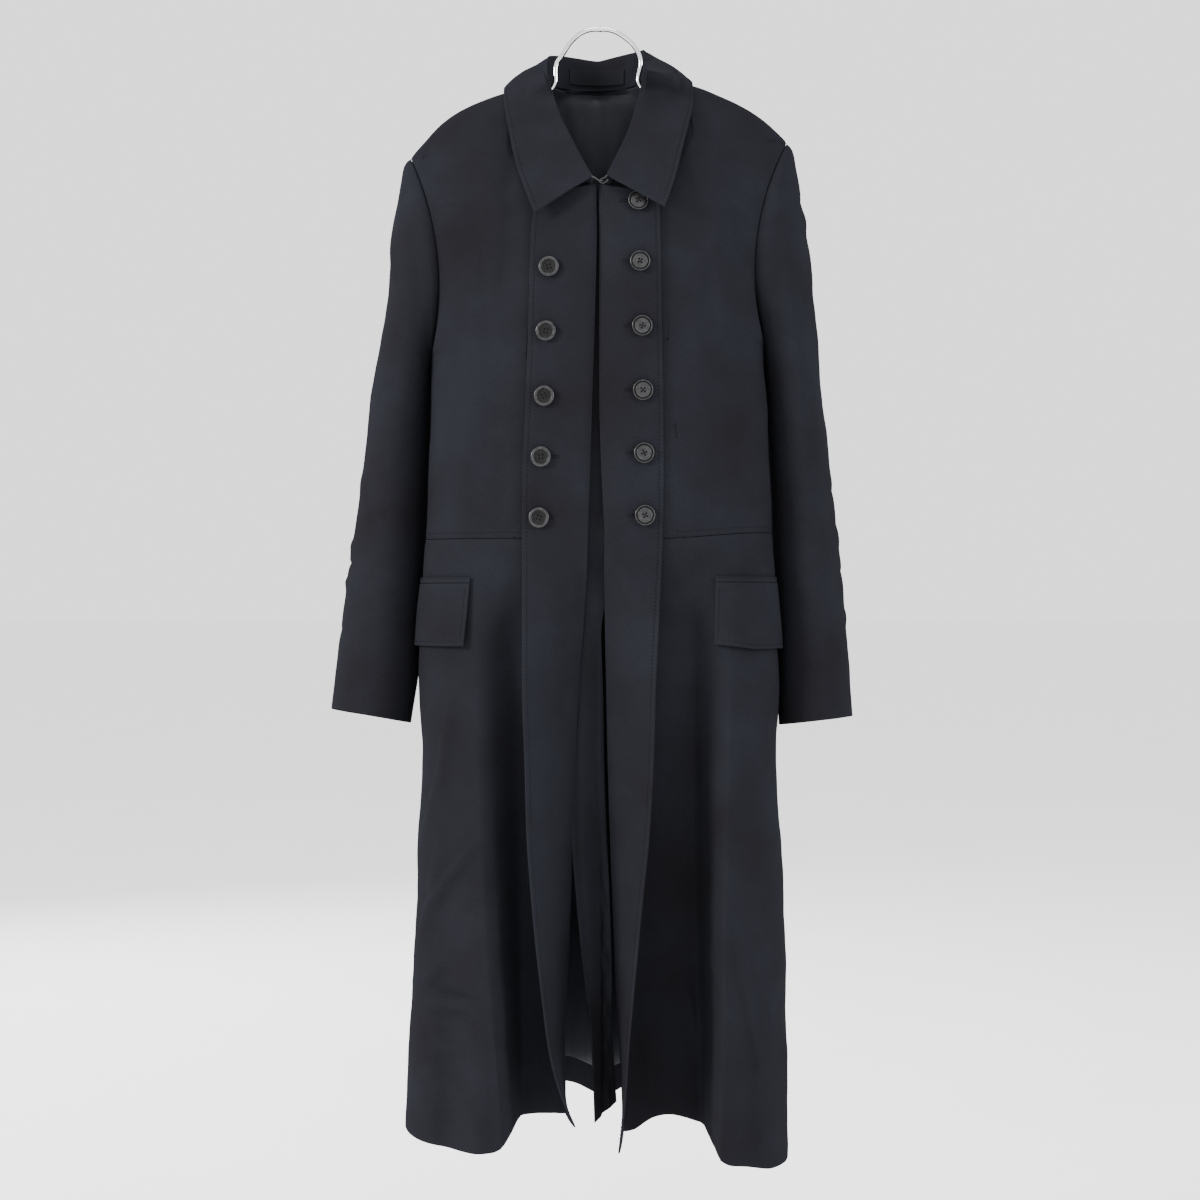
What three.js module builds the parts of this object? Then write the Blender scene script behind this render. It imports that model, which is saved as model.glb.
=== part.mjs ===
// A long double-breasted coat of black wool, hung on a bent steel hanger rod.
// Millimetres. +Z is up, -Y is the coat's front and +X is the wearer's left. The origin is the top of the
// rod's dome, where a peg holds it. "right" and "left" are the wearer's, so side -1 is right and +1 is left.
import * as THREE from "three";

const CLOTH = 2.0; // a wall of coat cloth with its interlining
const LINING = 1.2;
const SEAM = 0.4; // pieces stop this far short of each other
const NEAR = 0.01; // two heights or turns this close are the same
const LAY = 0.6; // a piece that lies on another keeps this much air under it
const SIDES = { right: -1, left: 1 };

const CLOTH_BLACK = 0x1c1d22;
const LINING_BLACK = 0x20242c;
const BUTTON_BLACK = 0x2b2c30;
const STEEL = 0xb9bbbe;

// The body, level by level: half widths right and left of the middle, and how deep its front and back stand.
const SECTIONS = [
  { z: -50, right: 212, left: 208, front: 70, back: 66 },
  { z: -150, right: 208, left: 204, front: 74, back: 70 },
  { z: -230, right: 196, left: 190, front: 77, back: 75 },
  { z: -352, right: 179, left: 175, front: 79, back: 80 },
  { z: -422, right: 181, left: 179, front: 79, back: 78 },
  { z: -549, right: 186, left: 184, front: 80, back: 75 },
  { z: -630, right: 191, left: 188, front: 85, back: 80 },
  { z: -719, right: 193, left: 190.5, front: 92, back: 87 },
  { z: -776, right: 189, left: 188, front: 98, back: 92 },
  { z: -871, right: 194.5, left: 193, front: 106, back: 100 },
  { z: -960, right: 196, left: 197, front: 114, back: 108 },
  { z: -1048, right: 202, left: 198, front: 121, back: 115 },
  { z: -1143, right: 207, left: 200, front: 126, back: 120 },
  { z: -1200, right: 208, left: 200, front: 128, back: 121 },
];
const ROUND = 2.6; // the sections' exponent: 2 is an ellipse, more is squarer
const SWELL_DROP = 230; // below the shoulder line the body reaches its full depth over this drop

// The shoulder line: its height at a distance out from the middle.
const SHOULDER = [
  { out: 0, right: -52, left: -46 },
  { out: 57, right: -60, left: -54 },
  { out: 103, right: -71, left: -64 },
  { out: 126, right: -79, left: -73 },
  { out: 150, right: -90, left: -84 },
  { out: 170, right: -104, left: -96 },
  { out: 188, right: -123, left: -111 },
  { out: 203, right: -141, left: -127 },
  { out: 240, right: -230, left: -200 },
];

// The waist seam, the side seam's place round the section (1 is the widest point) and the hem.
const WAIST = { right: { z: -549, rise: 0 }, left: { z: -549, rise: 7 } };
const SIDE_SEAM = [
  { z: -352, turn: 1.0 },
  { z: -450, turn: 1.12 },
  { z: -549, turn: 1.2 },
  { z: -1200, turn: 1.2 },
];
const HEM = [
  { out: 20, right: -1155, left: -1173 },
  { out: 60, right: -1159, left: -1163 },
  { out: 95, right: -1176, left: -1172 },
  { out: 130, right: -1178, left: -1193 },
  { out: 170, right: -1175, left: -1200 },
  { out: 205, right: -1171, left: -1203 },
];
const BACK_HEM = { right: -1168, left: -1199, middle: -1153 };

// The fronts' deep valleys beside the lapels: how far the cloth falls back, from the fold's lip to its foot.
const VALLEY = {
  right: [
    { z: -560, depth: 0, lip: 132, foot: 84 },
    { z: -650, depth: 20, lip: 132, foot: 84 },
    { z: -800, depth: 46, lip: 128, foot: 82 },
    { z: -950, depth: 71, lip: 119, foot: 81 },
    { z: -1080, depth: 93, lip: 107, foot: 81 },
    { z: -1170, depth: 102, lip: 99, foot: 82 },
  ],
  left: [
    { z: -560, depth: 0, lip: 138, foot: 96 },
    { z: -650, depth: 24, lip: 138, foot: 96 },
    { z: -800, depth: 55, lip: 134, foot: 96 },
    { z: -950, depth: 84, lip: 130, foot: 100 },
    { z: -1080, depth: 110, lip: 127, foot: 106 },
    { z: -1190, depth: 124, lip: 123, foot: 109 },
  ],
};

// Soft folds of the skirt, in and out: a row for each, with its middle, half width, depth at the hem and top.
const FRONT_FOLDS = [
  { side: "right", x: -158, half: 16, depth: 9, top: -800 },
  { side: "right", x: -124, half: 13, depth: -6, top: -880 },
  { side: "left", x: 150, half: 15, depth: 8, top: -760 },
  { side: "left", x: 178, half: 12, depth: -6, top: -700 },
];
const BACK_FOLDS = [
  { x: 4, half: 24, depth: 66, top: -730 },
  { x: -66, half: 26, depth: -10, top: -640 },
  { x: -112, half: 24, depth: 30, top: -660 },
  { x: 74, half: 28, depth: -8, top: -600 },
  { x: 122, half: 22, depth: 26, top: -620 },
  { x: 160, half: 16, depth: -8, top: -700 },
];

// The lapels, folded back from the front edge and hanging free below the last button: where their free edge
// and their fold run, level by level. Flush with the chest at the top, edge-on to the front at the hem.
const LAPEL_HANGS = { from: -545, fully: -650 };
const LAPEL = {
  right: [
    { z: -186, free: 67, fold: 5, freeY: -80, foldY: -80 },
    { z: -236, free: 72, fold: 3.8, freeY: -80, foldY: -80 },
    { z: -310, free: 74, fold: 4.8, freeY: -80, foldY: -80 },
    { z: -400, free: 77, fold: 9, freeY: -80, foldY: -80 },
    { z: -490, free: 80.5, fold: 11.4, freeY: -80, foldY: -82 },
    { z: -549, free: 81, fold: 12.4, freeY: -83, foldY: -78 },
    { z: -630, free: 80.6, fold: 16, freeY: -88, foldY: -66 },
    { z: -704, free: 80, fold: 21.6, freeY: -92, foldY: -57 },
    { z: -780, free: 77, fold: 25, freeY: -96, foldY: -51 },
    { z: -848, free: 75, fold: 27, freeY: -98, foldY: -47 },
    { z: -938, free: 68, fold: 30.5, freeY: -101, foldY: -42 },
    { z: -1025, free: 58, fold: 34.5, freeY: -103, foldY: -39 },
    { z: -1075, free: 51, fold: 36.5, freeY: -104, foldY: -37 },
    { z: -1115, free: 40.5, fold: 36, freeY: -105, foldY: -36 },
    { z: -1158, free: 22, fold: 36, freeY: -105, foldY: -36 },
  ],
  left: [
    { z: -186, free: 61.5, fold: 1.5, freeY: -80, foldY: -80 },
    { z: -236, free: 63, fold: 1, freeY: -80, foldY: -80 },
    { z: -310, free: 64, fold: 1.6, freeY: -80, foldY: -80 },
    { z: -400, free: 65.5, fold: 3, freeY: -80, foldY: -80 },
    { z: -490, free: 66, fold: 5, freeY: -80, foldY: -80 },
    { z: -549, free: 65, fold: 5, freeY: -84, foldY: -80 },
    { z: -630, free: 61, fold: 4.6, freeY: -90, foldY: -66 },
    { z: -704, free: 57, fold: 6, freeY: -94, foldY: -56 },
    { z: -780, free: 54.5, fold: 7.5, freeY: -97, foldY: -52 },
    { z: -848, free: 50.5, fold: 9.5, freeY: -99, foldY: -48 },
    { z: -938, free: 41, fold: 13, freeY: -102, foldY: -42 },
    { z: -1025, free: 32.5, fold: 16.5, freeY: -104, foldY: -40 },
    { z: -1075, free: 28, fold: 19.5, freeY: -105, foldY: -39 },
    { z: -1115, free: 25.5, fold: 22, freeY: -105, foldY: -39 },
    { z: -1182, free: 18, fold: 24, freeY: -106, foldY: -40 },
  ],
};
const LAPEL_TOP = { fold: -187, free: -193 };
const LAPEL_HEM = { right: { fold: -1152, free: -1152 }, left: { fold: -1168, free: -1179 } };

// The narrow under-placket behind the left fold: its front and rear edges, level by level.
const PLACKET = [
  { z: -200, front: -0.5, rear: 26, frontY: -70, rearY: -70 },
  { z: -310, front: -2.5, rear: 26, frontY: -73, rearY: -73 },
  { z: -400, front: -4.5, rear: 24, frontY: -73.5, rearY: -73 },
  { z: -490, front: -6, rear: 23, frontY: -74, rearY: -73 },
  { z: -549, front: -7, rear: 22, frontY: -73, rearY: -71 },
  { z: -650, front: -14, rear: 1.6, frontY: -64, rearY: -58 },
  { z: -704, front: -17.5, rear: 3.5, frontY: -60, rearY: -49 },
  { z: -780, front: -20, rear: 5, frontY: -58, rearY: -43 },
  { z: -848, front: -20.5, rear: 7, frontY: -56, rearY: -40 },
  { z: -938, front: -17, rear: 11, frontY: -53, rearY: -36 },
  { z: -1020, front: -12.5, rear: 12.5, frontY: -53, rearY: -34 },
  { z: -1062, front: -8, rear: 12.5, frontY: -54, rearY: -29 },
  { z: -1100, front: -7, rear: 15, frontY: -54, rearY: -27 },
  { z: -1160, front: -5, rear: 19, frontY: -54, rearY: -25 },
];
const PLACKET_END = { top: -204, hem: -1160, rearHem: -1144 };
const PLACKET_WALL = 1.6;

// The collar, station by station from the back (0) to its front end (1): the seam on the neckline, the roll
// that it folds over, and its outer edge, each as its distance out from the middle, y and z.
const COLLAR = {
  right: [
    { at: 0, seam: [3, 55, -57], roll: [3, 59, -23], edge: [3, 83, -84] },
    { at: 0.12, seam: [34, 45, -57], roll: [36, 49, -20], edge: [56, 76, -83] },
    { at: 0.25, seam: [53, 20, -57], roll: [55, 20, -26], edge: [93, 38, -74] },
    { at: 0.34, seam: [56, 0, -58], roll: [57, -1, -44], edge: [103, 0, -64] },
    { at: 0.42, seam: [55, -16, -80], roll: [52, -20, -68], edge: [102, -22, -84] },
    { at: 0.55, seam: [48, -36, -114], roll: [42, -43, -102], edge: [96, -50, -119] },
    { at: 0.7, seam: [36, -51, -143], roll: [29, -58, -131], edge: [88, -66, -157] },
    { at: 0.85, seam: [22, -62, -166], roll: [17, -69, -156], edge: [78, -78, -187] },
    { at: 1, seam: [8, -68, -182], roll: [7, -76, -174], edge: [68, -84, -213] },
  ],
  left: [
    { at: 0, seam: [-3, 55, -57], roll: [-3, 59, -23], edge: [-3, 83, -84] },
    { at: 0.12, seam: [30, 45, -55], roll: [35, 49, -16], edge: [52, 76, -78] },
    { at: 0.25, seam: [45, 20, -53], roll: [47, 20, -19], edge: [88, 38, -67] },
    { at: 0.34, seam: [47, 0, -54], roll: [47, -1, -38], edge: [99, 0, -57] },
    { at: 0.42, seam: [48, -16, -74], roll: [45, -20, -60], edge: [99, -22, -82] },
    { at: 0.55, seam: [44, -36, -106], roll: [38, -41, -92], edge: [93, -50, -114] },
    { at: 0.7, seam: [34, -51, -137], roll: [28, -57, -125], edge: [86, -64, -142] },
    { at: 0.85, seam: [21, -62, -163], roll: [17, -68, -150], edge: [78, -76, -174] },
    { at: 1, seam: [8, -68, -182], roll: [6, -76, -173], edge: [67, -85, -207] },
  ],
};
const COLLAR_SHOULDER = 0.34; // the station over the shoulder seam
const COLLAR_FALL = [0.2, 0.45, 0.72, 1]; // the fall's points, from the roll to its edge

// The panels' grids: columns as shares from the middle (0) to the armhole and side seam (1), and rows.
const BODICE_COLUMNS = [0, 0.06, 0.12, 0.18, 0.24, 0.3, 0.42, 0.55, 0.68, 0.8, 0.9, 1];
const BACK_COLUMNS = [1, 0.9, 0.78, 0.66, 0.54, 0.42, 0.3, 0.2, 0.106];
const ROWS = { bodiceBelowArmhole: 5, backBelowArmhole: 15, skirt: 15 };
const SKIRT = { columns: 20, levelledAt: -1140, sideTurn: 1.2 };
const LAPEL_ROWS = { buttoned: 9, waistAbove: 0.368, waistBelow: 0.38, hanging: 17, crowd: 1.12, columns: 4 };
const NECK_SHARE = 0.3; // the share of a front's or back's top edge that is neckline
const NECK_END = 57; // where the shoulder seam starts, out from the middle
const NECK_BLEND = 125; // how far down the neckline shapes the panel
const TOP_BLEND = 60; // and how far down its columns spread from the top edge
const ARMHOLE_DRAW = 0.55; // from this column outwards a panel is drawn on to the armhole
const ARMHOLE_EASE = 3.5; // the armhole's gap is this much wider at the shoulder
const EDGE_GAP = { panel: SEAM * 0.6, side: SEAM * 1.5 }; // how far a panel's edge stands off the seam's plane
const LAPEL_BELLY = 5; // a hanging lapel is this much rounder than flat
const ROLL_GAP = 5.2; // across the collar's fold, outside to outside
const FALL_BULGE = 8; // over the shoulders and the back the fall is this much rounder than flat
const FALL_LIFT = 6.5; // the collar's fall stands this far off the body
const LAPEL_LIFT = 5; // and this much more where it covers a lapel's button

// The sleeves, ring by ring from the armhole to the cuff. outer and inner are distances from the middle at the
// ring's ends, high and low their heights, midY and half its place and half size front to back, bow how far an
// armhole curves in towards the neck, and lift how much higher its front stands.
const SLEEVE = {
  right: [
    { outer: 203, high: -141, inner: 179, low: -352, midY: 0, half: 38, bow: 19, lift: 0 },
    { outer: 209.5, high: -151, inner: 180, low: -357, midY: 3, half: 45, bow: 15, lift: 0 },
    { outer: 217.2, high: -182, inner: 181, low: -363, midY: 9, half: 52, bow: 9, lift: 0 },
    { outer: 224.2, high: -232, inner: 181.5, low: -371, midY: 15, half: 57, bow: 5, lift: 0 },
    { outer: 229.7, high: -290, inner: 182, low: -385, midY: 21, half: 60, bow: 2, lift: 0 },
    { outer: 239.2, high: -347, inner: 182.5, low: -404, midY: 26, half: 62, bow: 0, lift: 0 },
    { outer: 249.7, high: -416, inner: 183, low: -434, midY: 30, half: 63, bow: 0, lift: 0 },
    { outer: 259.7, high: -495, inner: 186, low: -506, midY: 32, half: 61, bow: 0, lift: 0 },
    { outer: 271.7, high: -576, inner: 190, low: -588, midY: 30, half: 58, bow: 0, lift: 0 },
    { outer: 280.7, high: -653, inner: 193, low: -666, midY: 24, half: 55, bow: 0, lift: 0 },
    { outer: 289.7, high: -730, inner: 203.5, low: -745, midY: 14, half: 51, bow: 0, lift: 4 },
  ],
  left: [
    { outer: 200, high: -125, inner: 175, low: -341, midY: 0, half: 38, bow: 22, lift: 0 },
    { outer: 206.5, high: -135, inner: 176, low: -348, midY: 3, half: 45, bow: 17, lift: 0 },
    { outer: 214.2, high: -170, inner: 177, low: -356, midY: 9, half: 52, bow: 10, lift: 0 },
    { outer: 222.2, high: -220, inner: 178, low: -366, midY: 15, half: 57, bow: 5, lift: 0 },
    { outer: 229.7, high: -280, inner: 179, low: -381, midY: 21, half: 60, bow: 2, lift: 0 },
    { outer: 235.7, high: -340, inner: 180.5, low: -402, midY: 26, half: 62, bow: 0, lift: 0 },
    { outer: 241.7, high: -416, inner: 181.5, low: -434, midY: 30, half: 63, bow: 0, lift: 0 },
    { outer: 251.2, high: -490, inner: 184, low: -506, midY: 32, half: 61, bow: 0, lift: 0 },
    { outer: 261.2, high: -580, inner: 187.5, low: -588, midY: 30, half: 58, bow: 0, lift: 0 },
    { outer: 267.7, high: -658, inner: 190.5, low: -666, midY: 24, half: 55, bow: 0, lift: 0 },
    { outer: 272.2, high: -738, inner: 192.5, low: -747, midY: 14, half: 51, bow: 0, lift: 2.5 },
  ],
};
const SLEEVE_SEGMENTS = 16;
const SLEEVE_PEAK = 1.3; // more than 1 draws a ring's outer end to a soft point

// Pocket flaps with the narrow welt above them, wrapping round towards the side seam.
const FLAP = {
  right: { start: 134.5, startLow: 139.5, end: 0.99, top: -595, bottom: -661, bottomStart: -661 },
  left: { start: 120, startLow: 121, end: 0.97, top: -594, bottom: -664, bottomStart: -659 },
};
const FLAP_LIFT = { top: 1.1, bottom: 4.3 }; // the air under a flap
const WELT = { height: 5.5, thick: 1.6, lift: 1.1 };

// Buttons: down each lapel, as distances out from the middle and heights.
const BUTTON = { radius: 10.5, foot: 8.9, crown: 9.7, rim: 7.7, floor: 6.7, thick: 3.6, dish: 1.1, sides: 14 };
const BUTTON_LIFT = 0.32; // its seat is this far off the lapel
const BUTTONS = {
  right: [
    { out: 52.7, z: -268.5 },
    { out: 55.8, z: -335 },
    { out: 57.8, z: -402 },
    { out: 60.9, z: -465 },
    { out: 63, z: -528 },
  ],
  left: [
    { out: 39.2, z: -199 },
    { out: 41.3, z: -263 },
    { out: 43.4, z: -329.5 },
    { out: 44.4, z: -396 },
    { out: 45.4, z: -461 },
    { out: 46.5, z: -525.5 },
  ],
};

const LABEL = { from: -33, to: 26, top: -34, bottom: -51, thick: 0.8 };
const NECK_HOOK = { wire: 0.8, y: -76.5, z: -179, sides: 4, steps: 16 };
const HOOK_PATH = [
  { x: -8.6, ahead: 0.9, up: 5 },
  { x: -4.6, ahead: 1.7, up: 2.6 },
  { x: -1, ahead: 2, up: 0.4 },
  { x: 1.6, ahead: 1.9, up: 0 },
  { x: 2.9, ahead: 0.7, up: 0 },
  { x: 2.9, ahead: -0.7, up: 0 },
  { x: 1.6, ahead: -1.9, up: 0 },
  { x: -1.4, ahead: -2.1, up: 0.4 },
];
const EYE_PATH = [
  { x: 8.6, ahead: 1, up: 1.6 },
  { x: 4.8, ahead: 0.5, up: -1.6 },
  { x: 1.8, ahead: 0, up: -2 },
  { x: 0.2, ahead: 0, up: 0 },
  { x: 1.4, ahead: 0, up: 2 },
  { x: 4, ahead: 0.6, up: 3 },
  { x: 7.6, ahead: 1.1, up: 6 },
];

// The hanger rod, from the dome's top down through the neck and out along the shoulders.
const ROD = { radius: 2.5, y: 0, sides: 5, steps: 46 };
const DOME_TOP = { out: 0, drop: 2.5 };
const DOME = {
  right: [
    { out: 17, drop: 5 },
    { out: 30, drop: 15 },
    { out: 39, drop: 28 },
    { out: 46.5, drop: 40 },
    { out: 50, drop: 64 },
  ],
  left: [
    { out: 15, drop: 4.6 },
    { out: 27, drop: 11.5 },
    { out: 37.5, drop: 22 },
    { out: 43.4, drop: 36 },
    { out: 43.4, drop: 64 },
  ],
};
const ARM = { tip: 178, clearance: 11.8, turnDown: 12, steps: [0.16, 0.38, 0.6, 0.78, 1] };

// A smooth curve without overshoot through one column of a table, against another.
function track(rows, key, column) {
  const sorted = [...rows].sort((a, b) => a[key] - b[key]);
  const x = sorted.map((r) => r[key]);
  const y = sorted.map((r) => r[column]);
  const rise = x.slice(1).map((v, i) => (y[i + 1] - y[i]) / (v - x[i]));
  const slope = x.map((_, i) => {
    if (i === 0) return rise[0];
    if (i === x.length - 1) return rise[i - 1];
    return rise[i - 1] * rise[i] <= 0 ? 0 : (2 * rise[i - 1] * rise[i]) / (rise[i - 1] + rise[i]);
  });
  return (at) => {
    if (at <= x[0]) return y[0];
    if (at >= x[x.length - 1]) return y[y.length - 1];
    const i = x.findIndex((v, n) => at <= x[n + 1]);
    const span = x[i + 1] - x[i];
    const t = (at - x[i]) / span;
    return (
      y[i] * (1 + 2 * t) * (1 - t) ** 2 +
      slope[i] * span * t * (1 - t) ** 2 +
      y[i + 1] * t * t * (3 - 2 * t) +
      slope[i + 1] * span * t * t * (t - 1)
    );
  };
}

function tracks(rows, key) {
  const columns = Object.keys(rows[0]).filter((c) => c !== key);
  return Object.fromEntries(columns.map((c) => [c, track(rows, key, c)]));
}

// The collar's three lines, each as its coordinates' tracks.
function collarTracks(rows) {
  const line = (name) => [0, 1, 2].map((i) => track(rows.map((r) => ({ at: r.at, v: r[name][i] })), "at", "v"));
  return { seam: line("seam"), roll: line("roll"), edge: line("edge") };
}

const mix = (a, b, t) => a + (b - a) * t;
const clamp = (t) => Math.min(1, Math.max(0, t));
const smooth = (from, to, v) => {
  const t = clamp((v - from) / (to - from));
  return t * t * (3 - 2 * t);
};

const section = tracks(SECTIONS, "z");
const shoulder = tracks(SHOULDER, "out");
const sideSeam = track(SIDE_SEAM, "z", "turn");
const hem = tracks(HEM, "out");
const valley = { right: tracks(VALLEY.right, "z"), left: tracks(VALLEY.left, "z") };
const lapel = { right: tracks(LAPEL.right, "z"), left: tracks(LAPEL.left, "z") };
const collar = { right: collarTracks(COLLAR.right), left: collarTracks(COLLAR.left) };
const placket = tracks(PLACKET, "z");

// How full the body is at a drop below the shoulder line: 0 on it, 1 at the chest.
function swell(side, x, z) {
  const t = clamp((shoulder[side](Math.abs(x)) - z) / SWELL_DROP);
  return (1 - (1 - t) ** 1.6) ** (1 / 1.7);
}

// The body's plain surface: turn 0 is the middle of the front, 1 the side and 2 the middle of the back.
function bodyPlain(side, turn, z) {
  const angle = (turn * Math.PI) / 2;
  const x = SIDES[side] * section[side](z) * Math.abs(Math.sin(angle)) ** (2 / ROUND);
  const depth = Math.abs(Math.cos(angle)) ** (2 / ROUND) * swell(side, x, z);
  return new THREE.Vector3(x, turn < 1 ? -section.front(z) * depth : section.back(z) * depth, z);
}

// The turn at which the body's front is this far out from the middle.
function turnAt(side, out, z) {
  const share = Math.min(1, Math.max(0, out) / section[side](z));
  return (Math.asin(share ** (ROUND / 2)) * 2) / Math.PI;
}

function frontY(side, out, z) {
  return bodyPlain(side, turnAt(side, out, z), z).y;
}

// 0 where the lapel is buttoned flat, 1 where it hangs free.
const hanging = (z) => smooth(-LAPEL_HANGS.from, -LAPEL_HANGS.fully, -z);

function softFolds(folds, x, z, hemZ) {
  let y = 0;
  for (const f of folds) {
    const down = smooth(-f.top, -hemZ, -z);
    y += f.depth * down * Math.exp(-(((x - f.x) / f.half) ** 2));
  }
  return y;
}

// The fronts with their folds: the valley beside the lapel, then the run in to the lapel's fold.
function frontPoint(side, turn, z) {
  const p = bodyPlain(side, turn, z);
  const out = Math.abs(p.x);
  const v = valley[side];
  const onFront = turn < 1 ? 1 : 0;
  p.y += onFront * v.depth(z) * (1 - smooth(v.foot(z), v.lip(z), out));
  p.y += onFront * softFolds(FRONT_FOLDS.filter((f) => f.side === side), p.x, z, HEM[0][side]);
  const fold = lapel[side].fold(z);
  const nearFold = (1 - smooth(2, 34, out - fold)) * hanging(z);
  p.y = mix(p.y, lapel[side].foldY(z) + CLOTH + LAY, nearFold);
  return p;
}

function backPoint(side, turn, z) {
  const p = bodyPlain(side, turn, z);
  const hemZ = BACK_HEM.middle;
  const onBack = smooth(1.15, 1.4, turn);
  p.y -= onBack * softFolds(BACK_FOLDS, p.x, z, hemZ);
  return p;
}

// A point of the armhole or of a sleeve ring: round 0 is its outer end, 0.25 the front, 0.5 its inner end.
function ringPoint(side, ring, round) {
  const angle = round * 2 * Math.PI;
  const t = (1 - Math.cos(angle)) / 2;
  const out = mix(ring.outer, ring.inner, t) - ring.bow * Math.sin(angle) ** 2;
  const breadth = Math.sign(Math.sin(angle)) * Math.abs(Math.sin(angle)) ** (t < 0.5 ? SLEEVE_PEAK : 1);
  const z = mix(ring.high, ring.low, t) + ring.lift * Math.sin(angle);
  return new THREE.Vector3(SIDES[side] * out, ring.midY - ring.half * breadth, z);
}

function collarPoint(side, line, at) {
  const [out, y, z] = collar[side][line].map((coordinate) => coordinate(at));
  return new THREE.Vector3(SIDES[side] * out, y, z);
}

// A panel's neckline, a seam's width below the collar.
function neckPoint(side, at) {
  const p = collarPoint(side, "seam", at);
  p.z -= 1;
  return p;
}

// Heights of a panel's rows: down the armhole in the sleeve's own steps, then on to the panel's lower edge.
function rowShares(side, low, rowsBelow) {
  const ring = SLEEVE[side][0];
  const shares = [];
  for (let k = 0; k <= SLEEVE_SEGMENTS / 2; k++) {
    shares.push((ring.high - ringPoint(side, ring, k / SLEEVE_SEGMENTS).z) / (ring.high - low));
  }
  const last = shares[shares.length - 1];
  for (let k = 1; k <= rowsBelow; k++) shares.push(mix(last, 1, k / rowsBelow));
  return shares;
}

// The armhole's edge at a height, and the turn at which the body has it.
function armholeEdge(side, back, z) {
  const ring = SLEEVE[side][0];
  const share = clamp((ring.high - z) / (ring.high - ring.low));
  const angle = Math.acos(1 - 2 * share);
  const edge = ringPoint(side, ring, (back ? 2 * Math.PI - angle : angle) / (2 * Math.PI));
  edge.x -= SIDES[side] * SEAM * (1 + ARMHOLE_EASE * (1 - share) ** 2);
  edge.y += (back ? 1 : -1) * EDGE_GAP.panel;
  return edge;
}

function edgeTurn(side, back, z) {
  if (z < SLEEVE[side][0].low) return sideSeam(z);
  const ring = SLEEVE[side][0];
  const share = clamp((ring.high - z) / (ring.high - ring.low));
  const edge = ringPoint(side, ring, Math.acos(1 - 2 * share) / (2 * Math.PI));
  const turn = turnAt(side, Math.abs(edge.x), z);
  return back ? 2 - turn : turn;
}

// The turn of a panel's column at a height. From its top edge it spreads to its even share of the section.
function columnTurn(side, back, share, z, top) {
  const seam = edgeTurn(side, back, z);
  const even = back ? mix(2, seam, share) : share * seam;
  if (z < SLEEVE[side][0].low) return even;
  const fade = (1 - clamp((top.z - z) / TOP_BLEND)) ** 2;
  const turn = turnAt(side, mix(Math.abs(bodyPlain(side, even, z).x), top.out, fade), z);
  return back ? 2 - turn : turn;
}

// Where a panel's column starts: on the neckline, or out along the shoulder seam.
function panelTop(side, back, across) {
  const ring = SLEEVE[side][0];
  if (across < NECK_SHARE) {
    const share = across / NECK_SHARE;
    const neck = neckPoint(side, back ? COLLAR_SHOULDER * share : mix(1, COLLAR_SHOULDER, share));
    return { neck, out: Math.abs(neck.x), z: neck.z };
  }
  const out = mix(NECK_END, ring.outer, (across - NECK_SHARE) / (1 - NECK_SHARE));
  return { neck: null, out, z: across === 1 ? ring.high : shoulder[side](out) };
}

// A panel that hangs from neckline and shoulder and is bounded by the armhole and the side seam.
// across is 0 at the middle and 1 at the armhole or side seam, down is 0 at its top and 1 at low.
function hangingPanel(side, back, across, down, low) {
  const ring = SLEEVE[side][0];
  const shape = back ? backPoint : frontPoint;
  const facing = back ? 1 : -1;
  const top = panelTop(side, back, across);
  const z = mix(top.z, low, down);
  const p = shape(side, columnTurn(side, back, across, z, top), z);
  if (top.neck) {
    const start = shape(side, columnTurn(side, back, across, top.z, top), top.z);
    const fade = (1 - clamp((top.z - z) / NECK_BLEND)) ** 2;
    p.addScaledVector(top.neck.sub(start), fade);
    p.z = mix(p.z, z, 1 - fade);
  }
  p.y += facing * (across === 1 ? EDGE_GAP.side : EDGE_GAP.panel);
  if (z > ring.low - NEAR) {
    const armhole = { out: ring.outer, z: ring.high };
    const own = shape(side, columnTurn(side, back, 1, z, armhole), z);
    own.y += facing * EDGE_GAP.panel;
    const edge = armholeEdge(side, back, z);
    p.addScaledVector(edge.sub(own).setZ(0), smooth(ARMHOLE_DRAW, 1, across));
  }
  return p;
}

// A bodice front keeps its edge just behind the lapel's fold.
function bodicePoint(side, across, down) {
  const waistOut = bodyPlain(side, across * sideSeam(WAIST[side].z), WAIST[side].z).x;
  const low = waistZ(side, Math.abs(waistOut)) + SEAM / 2;
  const p = hangingPanel(side, false, across, down, low);
  const edge = lapel[side].fold(p.z) + 1;
  const pull = 1 - smooth(0, 0.3, across);
  const onNeck = (1 - clamp((LAPEL_TOP.fold - p.z) / NECK_BLEND)) ** 2;
  p.x += SIDES[side] * edge * pull * (1 - onNeck);
  return p;
}

const waistZ = (side, out) => WAIST[side].z + WAIST[side].rise * smooth(60, 180, out);

// A skirt front, from the waist seam down.
function skirtPoint(side, turn, down) {
  const topOut = Math.abs(bodyPlain(side, turn, WAIST[side].z).x);
  const top = waistZ(side, topOut) - SEAM / 2;
  const hemOut = Math.abs(bodyPlain(side, turn, SKIRT.levelledAt).x);
  const low = mix(hem[side](hemOut), BACK_HEM[side], smooth(1, SKIRT.sideTurn, turn));
  const z = mix(top, low, down);
  const edge = turnAt(side, lapel[side].fold(z) + 1, z);
  const share = turn / SKIRT.sideTurn;
  const p = frontPoint(side, mix(edge, sideSeam(z), share), z);
  p.y -= turn > SKIRT.sideTurn - NEAR ? EDGE_GAP.side : EDGE_GAP.panel;
  return p;
}

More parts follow.
